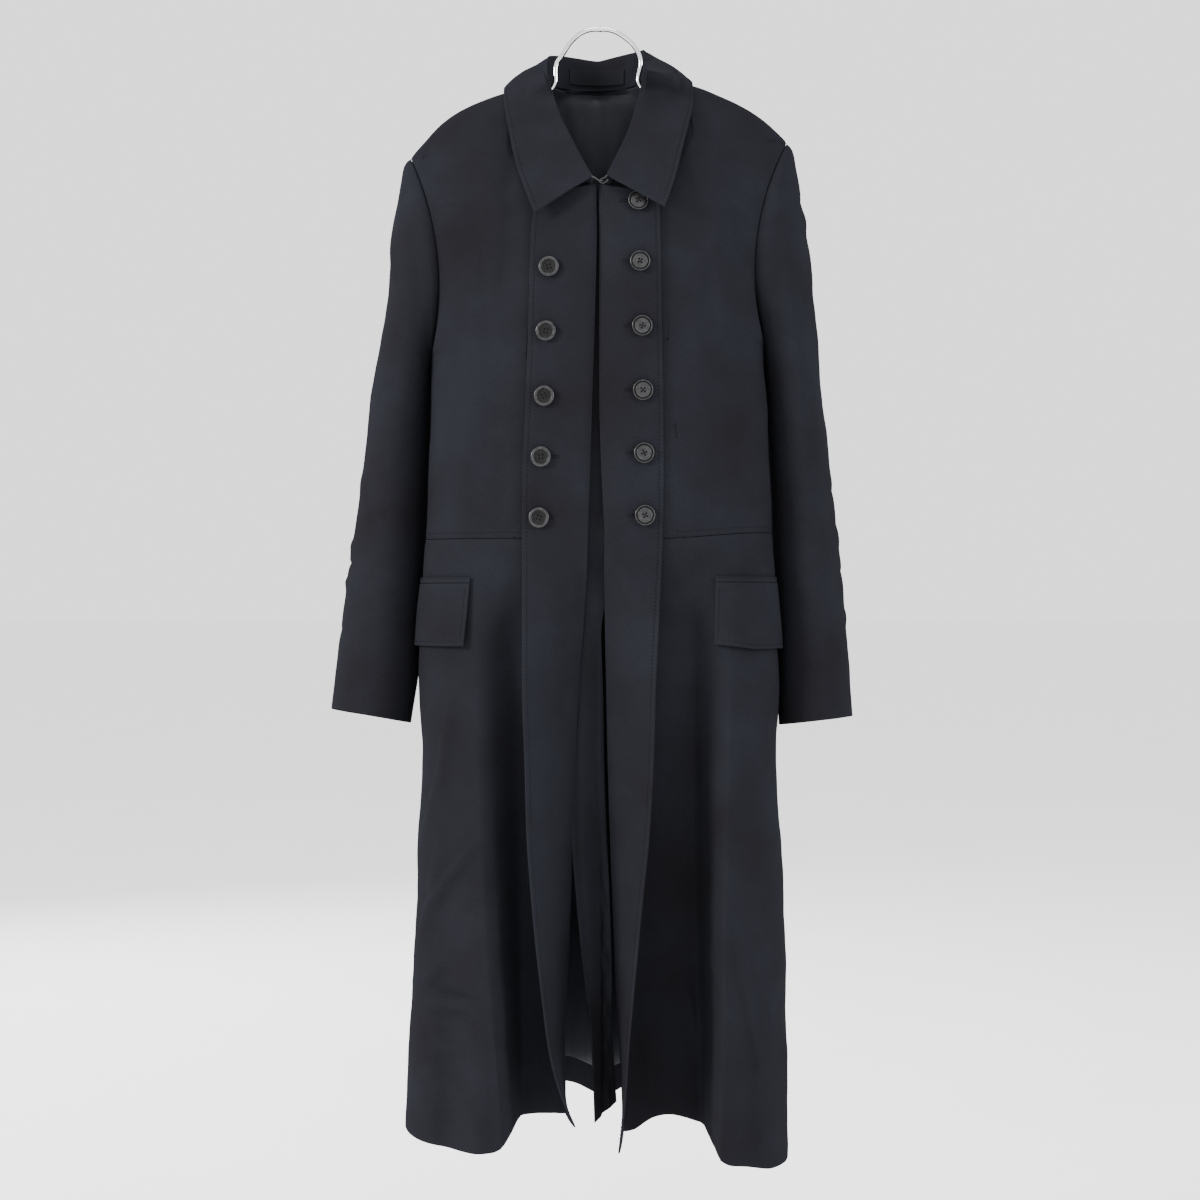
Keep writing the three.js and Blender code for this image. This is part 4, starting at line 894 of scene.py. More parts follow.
def make_back_face():
    across = columns_of("back")
    down = panel_rows("right", BACK_HEM["middle"], "back")
    right = back_half("right", across[:, ::-1], down)
    left = back_half("left", across[:, 1:], down)
    step = right[:, -1:] - back_half("left", np.zeros((1, 1)), down)
    left = left + step * (1 - smooth(*BACK_HALVES_MEET, across[:, 1:]))[..., None]
    face = np.concatenate([right, left], axis=1)
    share = np.concatenate([across[:, ::-1], across[:, 1:]], axis=1)
    lift = crease_lift(BACK_CREASES, face[..., 0], face[..., 2]) + wavy("back", face)
    lift = lift * (1 - smooth(*FADE["back_side"], share)) * smooth(*FADE["top"], down)
    seam = BACK_SEAM["depth"] * bell(face[..., 0] - BACK_SEAM["x"], BACK_SEAM["half"])
    return lifted(face, lift - seam * smooth(*FADE["back_seam"], down), flip=True), share[0]


def half_of_back(side):
    middle = back_face.shape[1] // 2
    keep = slice(0, middle + 1) if side == "right" else slice(middle, None)
    face = back_face[:, keep].copy()
    face[:, -1 if side == "right" else 0, 0] += SIDES[side] * BACK_SEAM["gap"]
    return face, back_share[keep]


sleeve_lines = {}
for side in BOTH:
    numbered = [dict(row, n=n) for n, row in enumerate(SLEEVE[side])]
    sleeve_lines[side] = tracks(numbered, "n")


def make_sleeve_face(side):
    last = len(SLEEVE[side]) - 1
    fine = np.linspace(0, last, 400)
    reach = 0.5 * (sleeve_lines[side]["high"](fine) + sleeve_lines[side]["low"](fine))
    n = np.interp(rows_of("sleeve"), (reach[0] - reach) / (reach[0] - reach[-1]), fine)
    columns = GRID["sleeve"]["columns"]
    around = (np.arange(columns) / columns)[None, :]
    ring = {name: line(n) for name, line in sleeve_lines[side].items()}
    face = ring_point(side, ring, around)
    turned = ((0.25 - around + 0.5) % 1 - 0.5) * SLEEVE_GIRTH + 0 * n
    rounds = (-SLEEVE_GIRTH, 0, SLEEVE_GIRTH)
    creases = sum(crease_lift(SLEEVE_CREASES[side], turned + whole, face[..., 2]) for whole in rounds)
    inner = smooth(*INNER_ARM[0], around) * (1 - smooth(*INNER_ARM[1], around))
    down = (n / last) ** SLEEVE_EASE
    lift = (creases + wavy(f"sleeve_{side}", face)) * smooth(*FADE["sleeve_head"], down)
    lift = lift * (1 - INNER_ARM_CALM * inner)
    head = SLEEVE_HEAD["height"] * bell(down - SLEEVE_HEAD["at"], SLEEVE_HEAD["half"]) * (1 - inner)
    armhole = ARMHOLE_DIP["depth"] * bell(down, ARMHOLE_DIP["half"])
    hind_seam = HIND_SEAM["depth"] * bell(around - HIND_SEAM["at"], HIND_SEAM["half"])
    hind_seam = hind_seam * smooth(*FADE["hind_seam"], down)
    face = lifted(face, lift + head - armhole - hind_seam, closed=True, flip=side == "left")
    return np.concatenate([tucked_edge(side, face[0]), face])


def tucked_edge(side, ring):
    """Two rows that carry a sleeve's seam allowance in under the body's edge."""
    inwards = unit((ring.mean(axis=0) - ring) * [0, 1, 1])
    rows = [ring + inwards * drop - np.array([SIDES[side] * reach, 0, 0]) for reach, drop in SLEEVE_TUCK]
    return np.stack(rows)


def quad_tree(*faces):
    verts, polygons, start = [], [], 0
    for face in faces:
        rows, columns = face.shape[:2]
        at = start + np.arange(rows * columns).reshape(rows, columns)
        quads = np.stack([at[:-1, :-1], at[1:, :-1], at[1:, 1:], at[:-1, 1:]], -1).reshape(-1, 4)
        verts += face.reshape(-1, 3).tolist()
        polygons += quads.tolist()
        start += rows * columns
    return BVHTree.FromPolygons(verts, polygons)


def spread(field, cells, pick):
    """Each cell takes the most or the least of the cells about it."""
    for axis in (0, 1):
        out = field.copy()
        for k in range(1, cells + 1):
            for way in (-k, k):
                moved = np.roll(field, way, axis)
                out = pick(out, moved)
        field = out
    return field


def softened(field, cells):
    kernel = np.ones(2 * cells + 1) / (2 * cells + 1)

    def averaged(line):
        return np.convolve(np.pad(line, cells, "edge"), kernel, "valid")

    for axis in (0, 1):
        field = np.apply_along_axis(averaged, axis, field)
    return field


AHEAD_OF_ALL = -400
RELIEF_STEP = 2.5
RELIEF_OUTS = (-12, 232)
FRONT_HALF = 30
# The heights between which the cloth's relief is taken in each place, and how far it is spread.
RELIEF_OF = {
    "chest": (-1210, -60, 5),
    "inside": (-1210, -180, 5),
    "hips": (-700, -560, 3),
    "shoulders": (-260, -60, 5),
}


def cloth_behind(tree, x, z, start=AHEAD_OF_ALL):
    """Where a line straight towards the back first meets a face, or None."""
    return tree.ray_cast(Vector((x, start, z)), Vector((0, 1, 0)))[0]


def relief(side, tree, low_z, high_z, reach, pick=np.fmin):
    """A look-up by x and z of how far forward the cloth stands on one side, spread by reach."""
    outs = np.arange(*RELIEF_OUTS, RELIEF_STEP)
    heights = np.arange(low_z, high_z, RELIEF_STEP)
    field = np.full((len(outs), len(heights)), np.nan)
    for i, out in enumerate(outs):
        for j, z in enumerate(heights):
            hit = cloth_behind(tree, SIDES[side] * out, z)
            if hit is not None and hit.y < FRONT_HALF:
                field[i, j] = hit.y
    o, h = np.meshgrid(outs, heights, indexing="ij")
    field = spread(field, round(reach / RELIEF_STEP), pick)
    plain = body_plain(side, turn_at(side, o, h), h)[..., 1]
    field = np.where(np.isnan(field), plain, field)
    field = softened(field, max(1, round(reach / RELIEF_STEP)))

    def look(x, z):
        a = np.clip((SIDES[side] * x - outs[0]) / RELIEF_STEP, 0, len(outs) - 1.001)
        b = np.clip((z - heights[0]) / RELIEF_STEP, 0, len(heights) - 1.001)
        i, j = a.astype(int), b.astype(int)
        s, t = a - i, b - j
        near = mix(field[i, j], field[i, j + 1], t)
        far = mix(field[i + 1, j], field[i + 1, j + 1], t)
        return mix(near, far, s)

    return look


def button_pucker(side, x, z):
    lift = 0 * x
    for b in BUTTONS[side]:
        away = np.hypot(x - SIDES[side] * b["out"], z - b["z"])
        ridge = PUCKER["ridge"] * bell(away - PUCKER["ridge_at"], PUCKER["ridge_half"])
        lift = lift + ridge - PUCKER["dip"] * bell(away, PUCKER["half"])
    return lift


def make_lapel_face(side):
    across, down = columns_of("lapel"), rows_of("lapel")
    lines = lapel[side]
    top = mix(LAPEL_TOP["free"], LAPEL_TOP["fold"], across)
    z = mix(top, mix(LAPEL_HEM[side]["free"], LAPEL_HEM[side]["fold"], across), down)
    x = SIDES[side] * mix(lines["free"](z), lines["fold"](z), across)
    from_fold = SIDES[side] * x - lines["fold"](z)
    flush = chest[side](x, z) - LAY - CLOTH
    belly = LAPEL_BELLY * np.sin(math.pi * across) * hanging(z)
    hung = mix(lines["free_y"](z), lines["fold_y"](z), across) - belly
    lift = crease_lift(LAPEL_CREASES, x, z) + button_pucker(side, x, z) + wavy("lapel", points(x, flush, z))
    within = smooth(*FADE["lapel_free"], across) * (1 - smooth(*FADE["lapel_fold"], across))
    lift = np.maximum(lift + LAPEL_EASE, 0) * mix(LAPEL_EDGE_EASE, 1, within)
    lying = np.minimum(flush, mix(flush, hung, hanging(z)))
    near_fold = (1 - smooth(*HUNG_BY_FOLD, from_fold)) * smooth(*HUNG_BELOW, -z)
    rolled = FOLD_ROLL * bell(from_fold, ROLL_HALF) * (1 - smooth(*ROLL_ENDS, -z))
    return points(x, mix(lying, hung, near_fold) - lift + rolled, z)


def make_placket_face():
    across, down = columns_of("placket"), rows_of("placket")
    low = mix(PLACKET_END["hem"], PLACKET_END["rear_hem"], across)
    z = mix(PLACKET_END["top"], low, down)
    x = mix(placket["front"](z), placket["rear"](z), across)
    hung = mix(placket["front_y"](z), placket["rear_y"](z), across)
    behind_fold = np.maximum(x, lapel["left"]["fold"](z) + PLACKET_BEHIND)
    inside = inside_left(behind_fold, z) + CLOTH + LAY + PLACKET_EASE
    free = np.where(x > PLACKET_BEHIND, np.maximum(hung, inside), hung)
    y = mix(inside, free, hanging(z)) + wavy("placket", points(x, hung, z)) * hanging(z)
    curled = PLACKET_CURL["depth"] * bell(x - placket["front"](z), PLACKET_CURL["half"])
    y = y + curled * smooth(*PLACKET_CURL["starts"], -z) * (1 - smooth(*PLACKET_CURL["ends"], -z))
    return points(x, y, z)


def smooth_line(through, count):
    """A rounded line through each row's points, with count points evenly spread by their number."""
    n = through.shape[1]
    at = np.linspace(0, n - 1, count)
    i = np.clip(at.astype(int), 0, n - 2)
    t = (at - i)[None, :, None]
    before, after = np.maximum(i - 1, 0), np.minimum(i + 2, n - 1)
    a, b, c, d = (through[:, k] for k in (before, i, i + 1, after))
    curve = 2 * b + (c - a) * t + (2 * a - 5 * b + 4 * c - d) * t**2 + (3 * b - a - 3 * c + d) * t**3
    return curve / 2, at


def collar_sections(side, at):
    seam, roll, edge = (collar_point(side, line, at) for line in ("seam", "roll", "edge"))
    fall, stand = unit(edge - roll), unit(seam - roll)
    axis = unit(fall + stand)
    parted = fall - stand
    parted = unit(parted - axis * np.sum(parted * axis, -1, keepdims=True))
    inner = roll + (axis - parted) * ROLL_GAP / 2
    outer = roll + (axis + parted) * ROLL_GAP / 2
    line = [seam, mix(seam, inner, 0.5), inner, roll, outer]
    fall_starts = len(line) - 1
    for t in FALL_STEPS:
        p = mix(outer, edge, t)
        p[..., 2] += FALL_BULGE * math.sin(math.pi * t) * (1 - smooth(COLLAR_SHOULDER, BULGE_END, at))
        line.append(p)
    curve, number = smooth_line(np.stack(line, 1), GRID["collar"]["columns"])
    t = clamp((number[None, :] - fall_starts) / len(FALL_STEPS))
    lift = FALL_LIFT + LAPEL_LIFT * smooth(*LAPEL_LIFT_FROM, at)[:, None] * smooth(0, 0.4, t)
    x, y, z = (curve[..., i] for i in range(3))
    out = np.abs(x)
    below = smooth(0, 6, shoulder[side](out) - z) * (t > 0)
    ahead = np.minimum(y, outermost[side](x, z) - lift)
    behind = np.maximum(y, body_plain(side, 2 - turn_at(side, out, z), z)[..., 1] + lift)
    at = at[:, None]
    moved = np.where(at > COLLAR_SHOULDER, ahead, np.where(at < COLLAR_SHOULDER, behind, y))
    near_shoulder = smooth(0, SHOULDER_TURN, np.abs(at - COLLAR_SHOULDER))
    curve[..., 1] = mix(y, moved, below * near_shoulder)
    return curve


def make_collar_face():
    at = rows_of("collar")[:, 0]
    right = collar_sections("right", at[::-1][:-1])
    left = collar_sections("left", at[1:])
    middle = collar_sections("right", at[:1])
    middle[..., 0] = 0
    face = np.concatenate([right, middle, left])
    for _ in range(2):
        face[1:-1] = (face[:-2] + 2 * face[1:-1] + face[2:]) / 4
    t = np.linspace(0, 1, face.shape[1])[None, :]
    held = smooth(*FADE["collar_fall"], t) * (1 - COLLAR_EDGE_CALM * smooth(*FADE["collar_edge"], t))
    return lifted(face, wavy("collar", face) * held)


def hip_face(side, face, top, bottom, lift):
    """A strip lying on the skirt between two levels, lifted off it by what lift gives for each level."""
    f = FLAP[side]
    share = columns_of(face)
    z = mix(top, bottom, rows_of(face)) + 0 * share
    start = mix(f["start"], f["start_low"], clamp((f["top"] - z) / (f["top"] - f["bottom"])))
    turn = mix(turn_at(side, start, z), f["end"], share)
    p = front_point(side, turn, z)
    along = front_point(side, turn + 0.01, z) - front_point(side, turn - 0.01, z)
    n = unit(np.stack([along[..., 1], -along[..., 0], 0 * z], -1)) * SIDES[side]
    stand_off = lift(z)
    p = p + n * stand_off[..., None]
    ahead_y = np.minimum(p[..., 1], skirt_relief[side](p[..., 0], z) - stand_off)
    p[..., 1] = mix(ahead_y, p[..., 1], smooth(*FLAP_ON_SIDE, turn))
    return p


def make_flap_face(side):
    f = FLAP[side]
    bottom = mix(f["corner"], f["bottom"], clamp(columns_of("flap") * FLAP_CORNER))

    def lift(z):
        down = clamp((f["top"] - z) / (f["top"] - f["bottom"]))
        return CLOTH + mix(FLAP_LIFT["top"], FLAP_LIFT["bottom"], down)

    face = hip_face(side, "flap", f["top"] - SEAM, bottom, lift)
    return lifted(face, wavy("flap", face), flip=side == "right")


def make_welt_face(side):
    top = FLAP[side]["top"]
    return hip_face(side, "welt", top + WELT["height"], top, lambda z: WELT["thick"] + WELT["lift"] + 0 * z)


# Cloth shells: a grid's face, a wall behind it and a rounded rim round its edges.
def arc_lengths(face, closed):
    along = np.linalg.norm(np.diff(face, axis=1), axis=-1)
    u = np.concatenate([np.zeros((face.shape[0], 1)), np.cumsum(along, axis=1)], axis=1)
    down = np.linalg.norm(np.diff(face, axis=0), axis=-1)
    v = np.concatenate([np.zeros((1, face.shape[1])), np.cumsum(down, axis=0)])
    girth = u[:, -1] + np.linalg.norm(face[:, 0] - face[:, -1], axis=-1) if closed else u[:, -1]
    return u, -v, girth


def border(rows, columns, closed):
    """The face's edges as loops of places, each with the place just inside it."""
    if closed:
        top = [((0, j), (1, j)) for j in range(columns)]
        bottom = [((rows - 1, j), (rows - 2, j)) for j in reversed(range(columns))]
        return [top, bottom]
    places = [(0, j) for j in range(columns)]
    places += [(i, columns - 1) for i in range(1, rows)]
    places += [(rows - 1, j) for j in range(columns - 2, -1, -1)]
    places += [(i, 0) for i in range(rows - 2, 0, -1)]
    inside = [(min(max(i, 1), rows - 2), min(max(j, 1), columns - 2)) for i, j in places]
    return [list(zip(places, inside))]


RIM_STEPS = (math.pi / 4, math.pi / 2, 3 * math.pi / 4)
RIM_LIMIT = 0.45
# How far from an edge its lighter colour reaches. The lightening is partly wear and partly a painted sheen.
WEAR_AND_SHEEN_REACH = 3.0
FAR_AWAY = 1e6


def rim_rings(face, n, thick, loops, rim):
    """The outer and the inner wall drawn in at their edges, and the rings of a rounded rim between them."""
    outer, inner, rings = face.copy(), face - n * thick, []
    for loop in loops:
        place, inside = (tuple(np.array(ends).T) for ends in zip(*loop))
        base, normal = face[place], n[place]
        way = base - face[inside]
        length = np.linalg.norm(way, axis=-1, keepdims=True)
        drawn_in = way / np.maximum(length, 1e-9) * np.minimum(rim, RIM_LIMIT * length)
        outer[place] = base - drawn_in
        inner[place] = base - drawn_in - normal * thick
        for turn in RIM_STEPS:
            depth = thick / 2 * (1 - math.cos(turn))
            rings.append((place, base - drawn_in * (1 - math.sin(turn)) - normal * depth))
    return outer, inner, rings


def wall_quads(u, v, girth, closed, flip):
    """The quads of a grid's face, and the flat cloth's coordinates at their corners."""
    rows, columns = u.shape
    wrap = columns if closed else columns - 1
    at = np.arange(rows * columns).reshape(rows, columns)
    u_next = np.concatenate([u, girth[:, None]], axis=1)[:, 1 : wrap + 1]

    def corners(here, following):
        here, following = here[:, :wrap], following[:, :wrap]
        return np.stack([here[:-1], here[1:], following[1:], following[:-1]], -1).reshape(-1, 4)

    quads = corners(at, np.roll(at, -1, 1))
    coords = np.stack([corners(u, u_next), corners(v, np.roll(v, -1, 1))], -1)
    return (quads[:, ::-1], coords[:, ::-1]) if flip else (quads, coords)


def rim_quads(loops, rings, u, v, flip):
    """The quads that join both walls by way of the rim's rings."""
    columns, start, faces, coords = u.shape[1], 2 * u.size, [], []
    for number, loop in enumerate(loops):
        place = rings[number * len(RIM_STEPS)][0]
        flat = place[0] * columns + place[1]
        layers = [flat]
        for _ in RIM_STEPS:
            layers.append(start + np.arange(len(loop)))
            start += len(loop)
        layers.append(flat + u.size)
        here_uv = np.stack([u[place], v[place]], -1)
        ahead_uv = np.roll(here_uv, -1, axis=0)
        strip_uv = np.stack([here_uv, ahead_uv, ahead_uv, here_uv], 1)
        for above, under in zip(layers[:-1], layers[1:]):
            strip = np.stack([above, np.roll(above, -1), np.roll(under, -1), under], -1)
            faces.append(strip[:, ::-1] if flip else strip)
            coords.append(strip_uv[:, ::-1] if flip else strip_uv)
    return faces, coords


def edge_wear_and_sheen(u, v, closed, worn):
    """How near each place is to one of the edges whose colour is lightened, partly as rubbing and partly as a
    painted sheen: top, bottom, left or right.
    """
    distances = {"t": -v, "b": v - v[-1:]}
    if not closed:
        distances.update(l=u, r=u[:, -1:] - u)
    away = np.full(u.shape, FAR_AWAY)
    for edge in worn:
        away = np.minimum(away, distances.get(edge, away))
    return np.exp(-away / WEAR_AND_SHEEN_REACH)


def cloth_shell(name, face, thick, closed=False, flip=False, cut=None, rim=1.0, worn="tblr"):
    u, v, girth = arc_lengths(face, closed)
    loops = border(*face.shape[:2], closed)
    outer, inner, rings = rim_rings(face, grid_normals(face, closed, flip, cut), thick, loops, rim)
    verts = np.concatenate([outer.reshape(-1, 3), inner.reshape(-1, 3)] + [ring for _, ring in rings])
    quads, corner_uv = wall_quads(u, v, girth, closed, flip)
    rim_faces, rim_uv = rim_quads(loops, rings, u, v, flip)
    faces = [quads, (quads + u.size)[:, ::-1]] + rim_faces
    coords = [corner_uv, corner_uv[:, ::-1]] + rim_uv
    # Nearness to the edges, where the colour is lightened partly as wear and partly as a painted sheen.
    near = edge_wear_and_sheen(u, v, closed, worn)
    wear_and_sheen = np.concatenate([near.ravel(), near.ravel()] + [near[place] for place, _ in rings])
    mesh = bpy.data.meshes.new(name)
    mesh.from_pydata((verts * MM).tolist(), [], np.concatenate(faces).tolist())
    uv_layer = mesh.uv_layers.new(name="cloth")
    uv_layer.data.foreach_set("uv", (np.concatenate(coords).reshape(-1, 2) * MM).ravel())
    mesh.attributes.new("edge", "FLOAT", "POINT").data.foreach_set("value", wear_and_sheen)
    return smooth_object(name, mesh)


def smooth_object(name, mesh):
    mesh.polygons.foreach_set("use_smooth", np.ones(len(mesh.polygons), bool))
    mesh.update()
    obj = bpy.data.objects.new(name, mesh)
    scene.collection.objects.link(obj)
    return obj


# Shader groups that several finishes share.
def shader_group(name, inputs, outputs):
    group = bpy.data.node_groups.new(name, "ShaderNodeTree")
    for label, kind, value in inputs:
        socket = group.interface.new_socket(label, in_out="INPUT", socket_type=kind)
        if value is not None:
            socket.default_value = value
    for label, kind in outputs:
        group.interface.new_socket(label, in_out="OUTPUT", socket_type=kind)
    return group, group.nodes.new("NodeGroupInput"), group.nodes.new("NodeGroupOutput")


def plug(tree, socket, value):
    if isinstance(value, bpy.types.NodeSocket):
        tree.links.new(value, socket)
    else:
        socket.default_value = value


def plug_all(tree, made, sockets):
    """Fills inputs by name, or by i and a number where several share a name."""
    for key, value in sockets.items():
        numbered = key[0] == "i" and key[1:].isdigit()
        plug(tree, made.inputs[int(key[1:]) if numbered else key.replace("_", " ")], value)


def node(tree, kind, settings=None, **sockets):
    made = tree.nodes.new(kind)
    for key, value in (settings or {}).items():
        setattr(made, key, value)
    plug_all(tree, made, sockets)
    return made


def placed_group(tree, group, **sockets):
    return node(tree, "ShaderNodeGroup", {"node_tree": group}, **sockets)


def noise(tree, place, scale, detail, roughness=0.5):
    made = node(tree, "ShaderNodeTexNoise", Vector=place, Scale=scale, Detail=detail, Roughness=roughness)
    return made.outputs["Fac"]


def ranged(tree, value, start=0.0, end=1.0, low=0.0, high=1.0):
    made = node(tree, "ShaderNodeMapRange", Value=value, From_Min=start, From_Max=end, To_Min=low,
                To_Max=high)
    return made.outputs[0]


def reckoned(tree, operation, a, b):
    return node(tree, "ShaderNodeMath", {"operation": operation}, i0=a, i1=b).outputs[0]


def in_cells(group, start, size):
    """The place that a group is given, counted in cells of one of its sizes in millimetres."""
    per_metre = reckoned(group, "DIVIDE", 1000.0, start.outputs[size])
    made = node(group, "ShaderNodeVectorMath", {"operation": "SCALE"}, i0=start.outputs["Vector"],
                Scale=per_metre)
    return made.outputs[0]


PLACE = ("Vector", "NodeSocketVector", None)
NUMBER = "NodeSocketFloat"
# The scale at which a diagonal wave repeats once in each cell.
RIB_WAVE = 0.444


def make_twill_weave():
    takes = (PLACE, ("Rib mm", NUMBER, 1.2), ("Fuzz", NUMBER, 0.6))
    group, start, end = shader_group("twill_weave", takes, (("Height", NUMBER), ("Tone", NUMBER)))
    spot = in_cells(group, start, "Rib mm")
    ribs = node(group, "ShaderNodeTexWave", {"bands_direction": "DIAGONAL"}, Vector=spot, Scale=RIB_WAVE,
                Distortion=1.2, Detail=2.0, Detail_Scale=1.6)
    fuzz = noise(group, spot, 0.9, 4.0, 0.65)
    height = node(group, "ShaderNodeMix", {"data_type": "FLOAT"}, i0=start.outputs["Fuzz"],
                  i2=ribs.outputs["Fac"], i3=fuzz)
    plug_all(group, end, {"Height": height.outputs[0], "Tone": fuzz})
    return group


# Lightens cloth along its edges in broken patches: partly rubbed wear, partly a painted sheen along the
# edges.
def make_worn_and_sheen_edge():
    takes = (PLACE, ("Edge", NUMBER, 0.0), ("Amount", NUMBER, 0.5))
    group, start, end = shader_group("worn_and_sheen_edge", takes, (("Mask", NUMBER),))
    patches = noise(group, start.outputs["Vector"], 38.0, 3.0)
    broken = ranged(group, patches, 0.35, 0.7, 0.35, 1.0)
    rubbed_and_sheen = reckoned(group, "MULTIPLY", start.outputs["Edge"], broken)
    plug_all(group, end, {"Mask": reckoned(group, "MULTIPLY", rubbed_and_sheen, start.outputs["Amount"])})
    return group


def make_lint():
    group, start, end = shader_group("lint", (PLACE, ("Spacing mm", NUMBER, 22.0)), (("Mask", NUMBER),))
    cells = node(group, "ShaderNodeTexVoronoi", Vector=in_cells(group, start, "Spacing mm"), Scale=1.0)
    plug_all(group, end, {"Mask": ranged(group, cells.outputs["Distance"], 0.008, 0.014, 1.0, 0.0)})
    return group


twill_weave = make_twill_weave()
worn_and_sheen_edge = make_worn_and_sheen_edge()
lint = make_lint()


def material(name):
    made = bpy.data.materials.new(name)
    made.use_nodes = True
    tree = made.node_tree
    return made, tree, tree.nodes["Principled BSDF"]


def colour_mix(tree, factor, a, b, blend="MIX"):
    made = node(tree, "ShaderNodeMix", {"data_type": "RGBA", "blend_type": blend}, i0=factor, i6=a, i7=b)
    return made.outputs[2]


RIB_RELIEF = 0.0005
SCRATCH_RELIEF = 0.0001
LINT_SPACING = 52.0
LINT_PALE = (0.08, 0.08, 0.085, 1)
SHEEN_TINT = (0.75, 0.8, 0.9, 1)
SHEEN_SPREAD = 0.45


def cloth_material(name, dark, light, rubbed_and_sheen, rib, fuzz, roughness, bump, sheen, wear_and_sheen, shine=0.0,
                   speckles=True):
    made, tree, shader = material(name)
    place = node(tree, "ShaderNodeTexCoord").outputs["Object"]
    flat = node(tree, "ShaderNodeUVMap", {"uv_map": "cloth"}).outputs["UV"]
    edge = node(tree, "ShaderNodeAttribute", {"attribute_name": "edge"}).outputs["Fac"]
    weave = placed_group(tree, twill_weave, Vector=flat, Rib_mm=rib, Fuzz=fuzz)
    shade = ranged(tree, noise(tree, place, 9.0, 4.0, 0.6), 0.3, 0.7)
    grain = ranged(tree, weave.outputs["Tone"], 0.25, 0.75, 0.72, 1.3)
    colour = colour_mix(tree, 1.0, colour_mix(tree, shade, dark, light), grain, "MULTIPLY")
    # Near the edges the colour turns lighter, partly as wear and partly as a painted sheen.
    worn_and_sheen_mask = placed_group(tree, worn_and_sheen_edge, Vector=place, Edge=edge, Amount=wear_and_sheen)
    colour = colour_mix(tree, worn_and_sheen_mask.outputs["Mask"], colour, rubbed_and_sheen)
    if speckles:
        specks = placed_group(tree, lint, Vector=place, Spacing_mm=LINT_SPACING)
        colour = colour_mix(tree, specks.outputs["Mask"], colour, LINT_PALE)
    rough = ranged(tree, weave.outputs["Tone"], low=roughness - 0.08, high=roughness + 0.06)
    raised = node(tree, "ShaderNodeBump", Strength=bump, Distance=RIB_RELIEF, Height=weave.outputs["Height"])
    plug_all(tree, shader, {"Base Color": colour, "Roughness": rough, "Normal": raised.outputs[0],
                            "Sheen Weight": sheen, "Sheen Roughness": SHEEN_SPREAD, "Sheen Tint": SHEEN_TINT,
                            "Specular IOR Level": shine})
    return made


def hard_material(name, colour, spot, roughness, metallic=0.0, scale=300.0, bump=0.1, shine=0.5, edge=None):
    made, tree, shader = material(name)
    place = node(tree, "ShaderNodeTexCoord").outputs["Object"]
    mottle = noise(tree, place, scale, 3.0)
    blend = colour_mix(tree, ranged(tree, mottle, 0.35, 0.7), colour, spot)
    # Where an edge colour is given, it is blended in as the surface turns away from view: a painted dark
    # reflection at the rim.
    if edge is not None:
        facing = node(tree, "ShaderNodeLayerWeight", Blend=0.5).outputs["Facing"]
        blend = colour_mix(tree, ranged(tree, facing, 0.35, 0.8), blend, edge)
    rough = ranged(tree, mottle, low=roughness * 0.8, high=roughness * 1.3)
    scratch = node(tree, "ShaderNodeBump", Strength=bump, Distance=SCRATCH_RELIEF, Height=mottle)
    plug_all(tree, shader, {"Base Color": blend, "Roughness": rough, "Normal": scratch.outputs[0],
                            "Metallic": metallic, "Specular IOR Level": shine})
    return made


WOOL_DARK = (0.0084, 0.0080, 0.0098, 1)
WOOL_LIGHT = (0.0112, 0.0118, 0.0152, 1)
# The lighter colour of the edges: rubbed wear together with a painted sheen.
WOOL_RUBBED_AND_SHEEN = (0.017, 0.0175, 0.021, 1)
wool = cloth_material("charcoal_wool", WOOL_DARK, WOOL_LIGHT, WOOL_RUBBED_AND_SHEEN, rib=1.3, fuzz=0.65, roughness=0.94,
                      bump=0.4, sheen=0.008, wear_and_sheen=0.12)
lining_cloth = cloth_material("lining_twill", dark=(0.0096, 0.0104, 0.0142, 1),
                              light=(0.0132, 0.0142, 0.019, 1), rubbed_and_sheen=(0.02, 0.022, 0.026, 1), rib=0.7,
                              fuzz=0.3, roughness=0.5, bump=0.2, sheen=0.03, wear_and_sheen=0.3, shine=0.12,
                              speckles=False)
label_cloth = cloth_material("label_tape", dark=(0.0086, 0.0088, 0.0104, 1), light=(0.0112, 0.0114, 0.013, 1),
                             rubbed_and_sheen=(0.014, 0.014, 0.016, 1), rib=0.5, fuzz=0.3, roughness=0.6, bump=0.2,
                             sheen=0.02, wear_and_sheen=0.5, speckles=False)
horn = hard_material("horn_rim", colour=(0.005, 0.005, 0.0056, 1), spot=(0.018, 0.018, 0.0195, 1),
                     roughness=0.34, shine=0.4)
# A darker horn that paints shade into the buttons' recessed rings and holes.
horn_painted_shade = hard_material("horn_painted_shade", colour=(0.002, 0.002, 0.0023, 1), spot=(0.006, 0.006, 0.0066, 1),
                          roughness=0.5, scale=420.0, shine=0.16)
thread = hard_material("black_thread", colour=(0.0025, 0.0025, 0.003, 1), spot=(0.006, 0.006, 0.0068, 1),
                       roughness=0.85, scale=1500.0, bump=0.5, shine=0.08)
japanned = hard_material("japanned_wire", colour=(0.01, 0.01, 0.011, 1), spot=(0.02, 0.02, 0.021, 1),
                         roughness=0.3, metallic=0.3)
# The rod and its bead are painted near black at their grazing edges, as a painted dark reflection.
chrome = hard_material("plated_rod", colour=(0.74, 0.75, 0.76, 1), spot=(0.66, 0.67, 0.69, 1), roughness=0.09,
                       metallic=1.0, scale=90.0, edge=(0.02, 0.02, 0.022, 1))
pale = hard_material("pale_floor", colour=(0.95, 0.95, 0.95, 1), spot=(0.97, 0.97, 0.97, 1), roughness=0.9,
                     scale=3.0, bump=0.0)


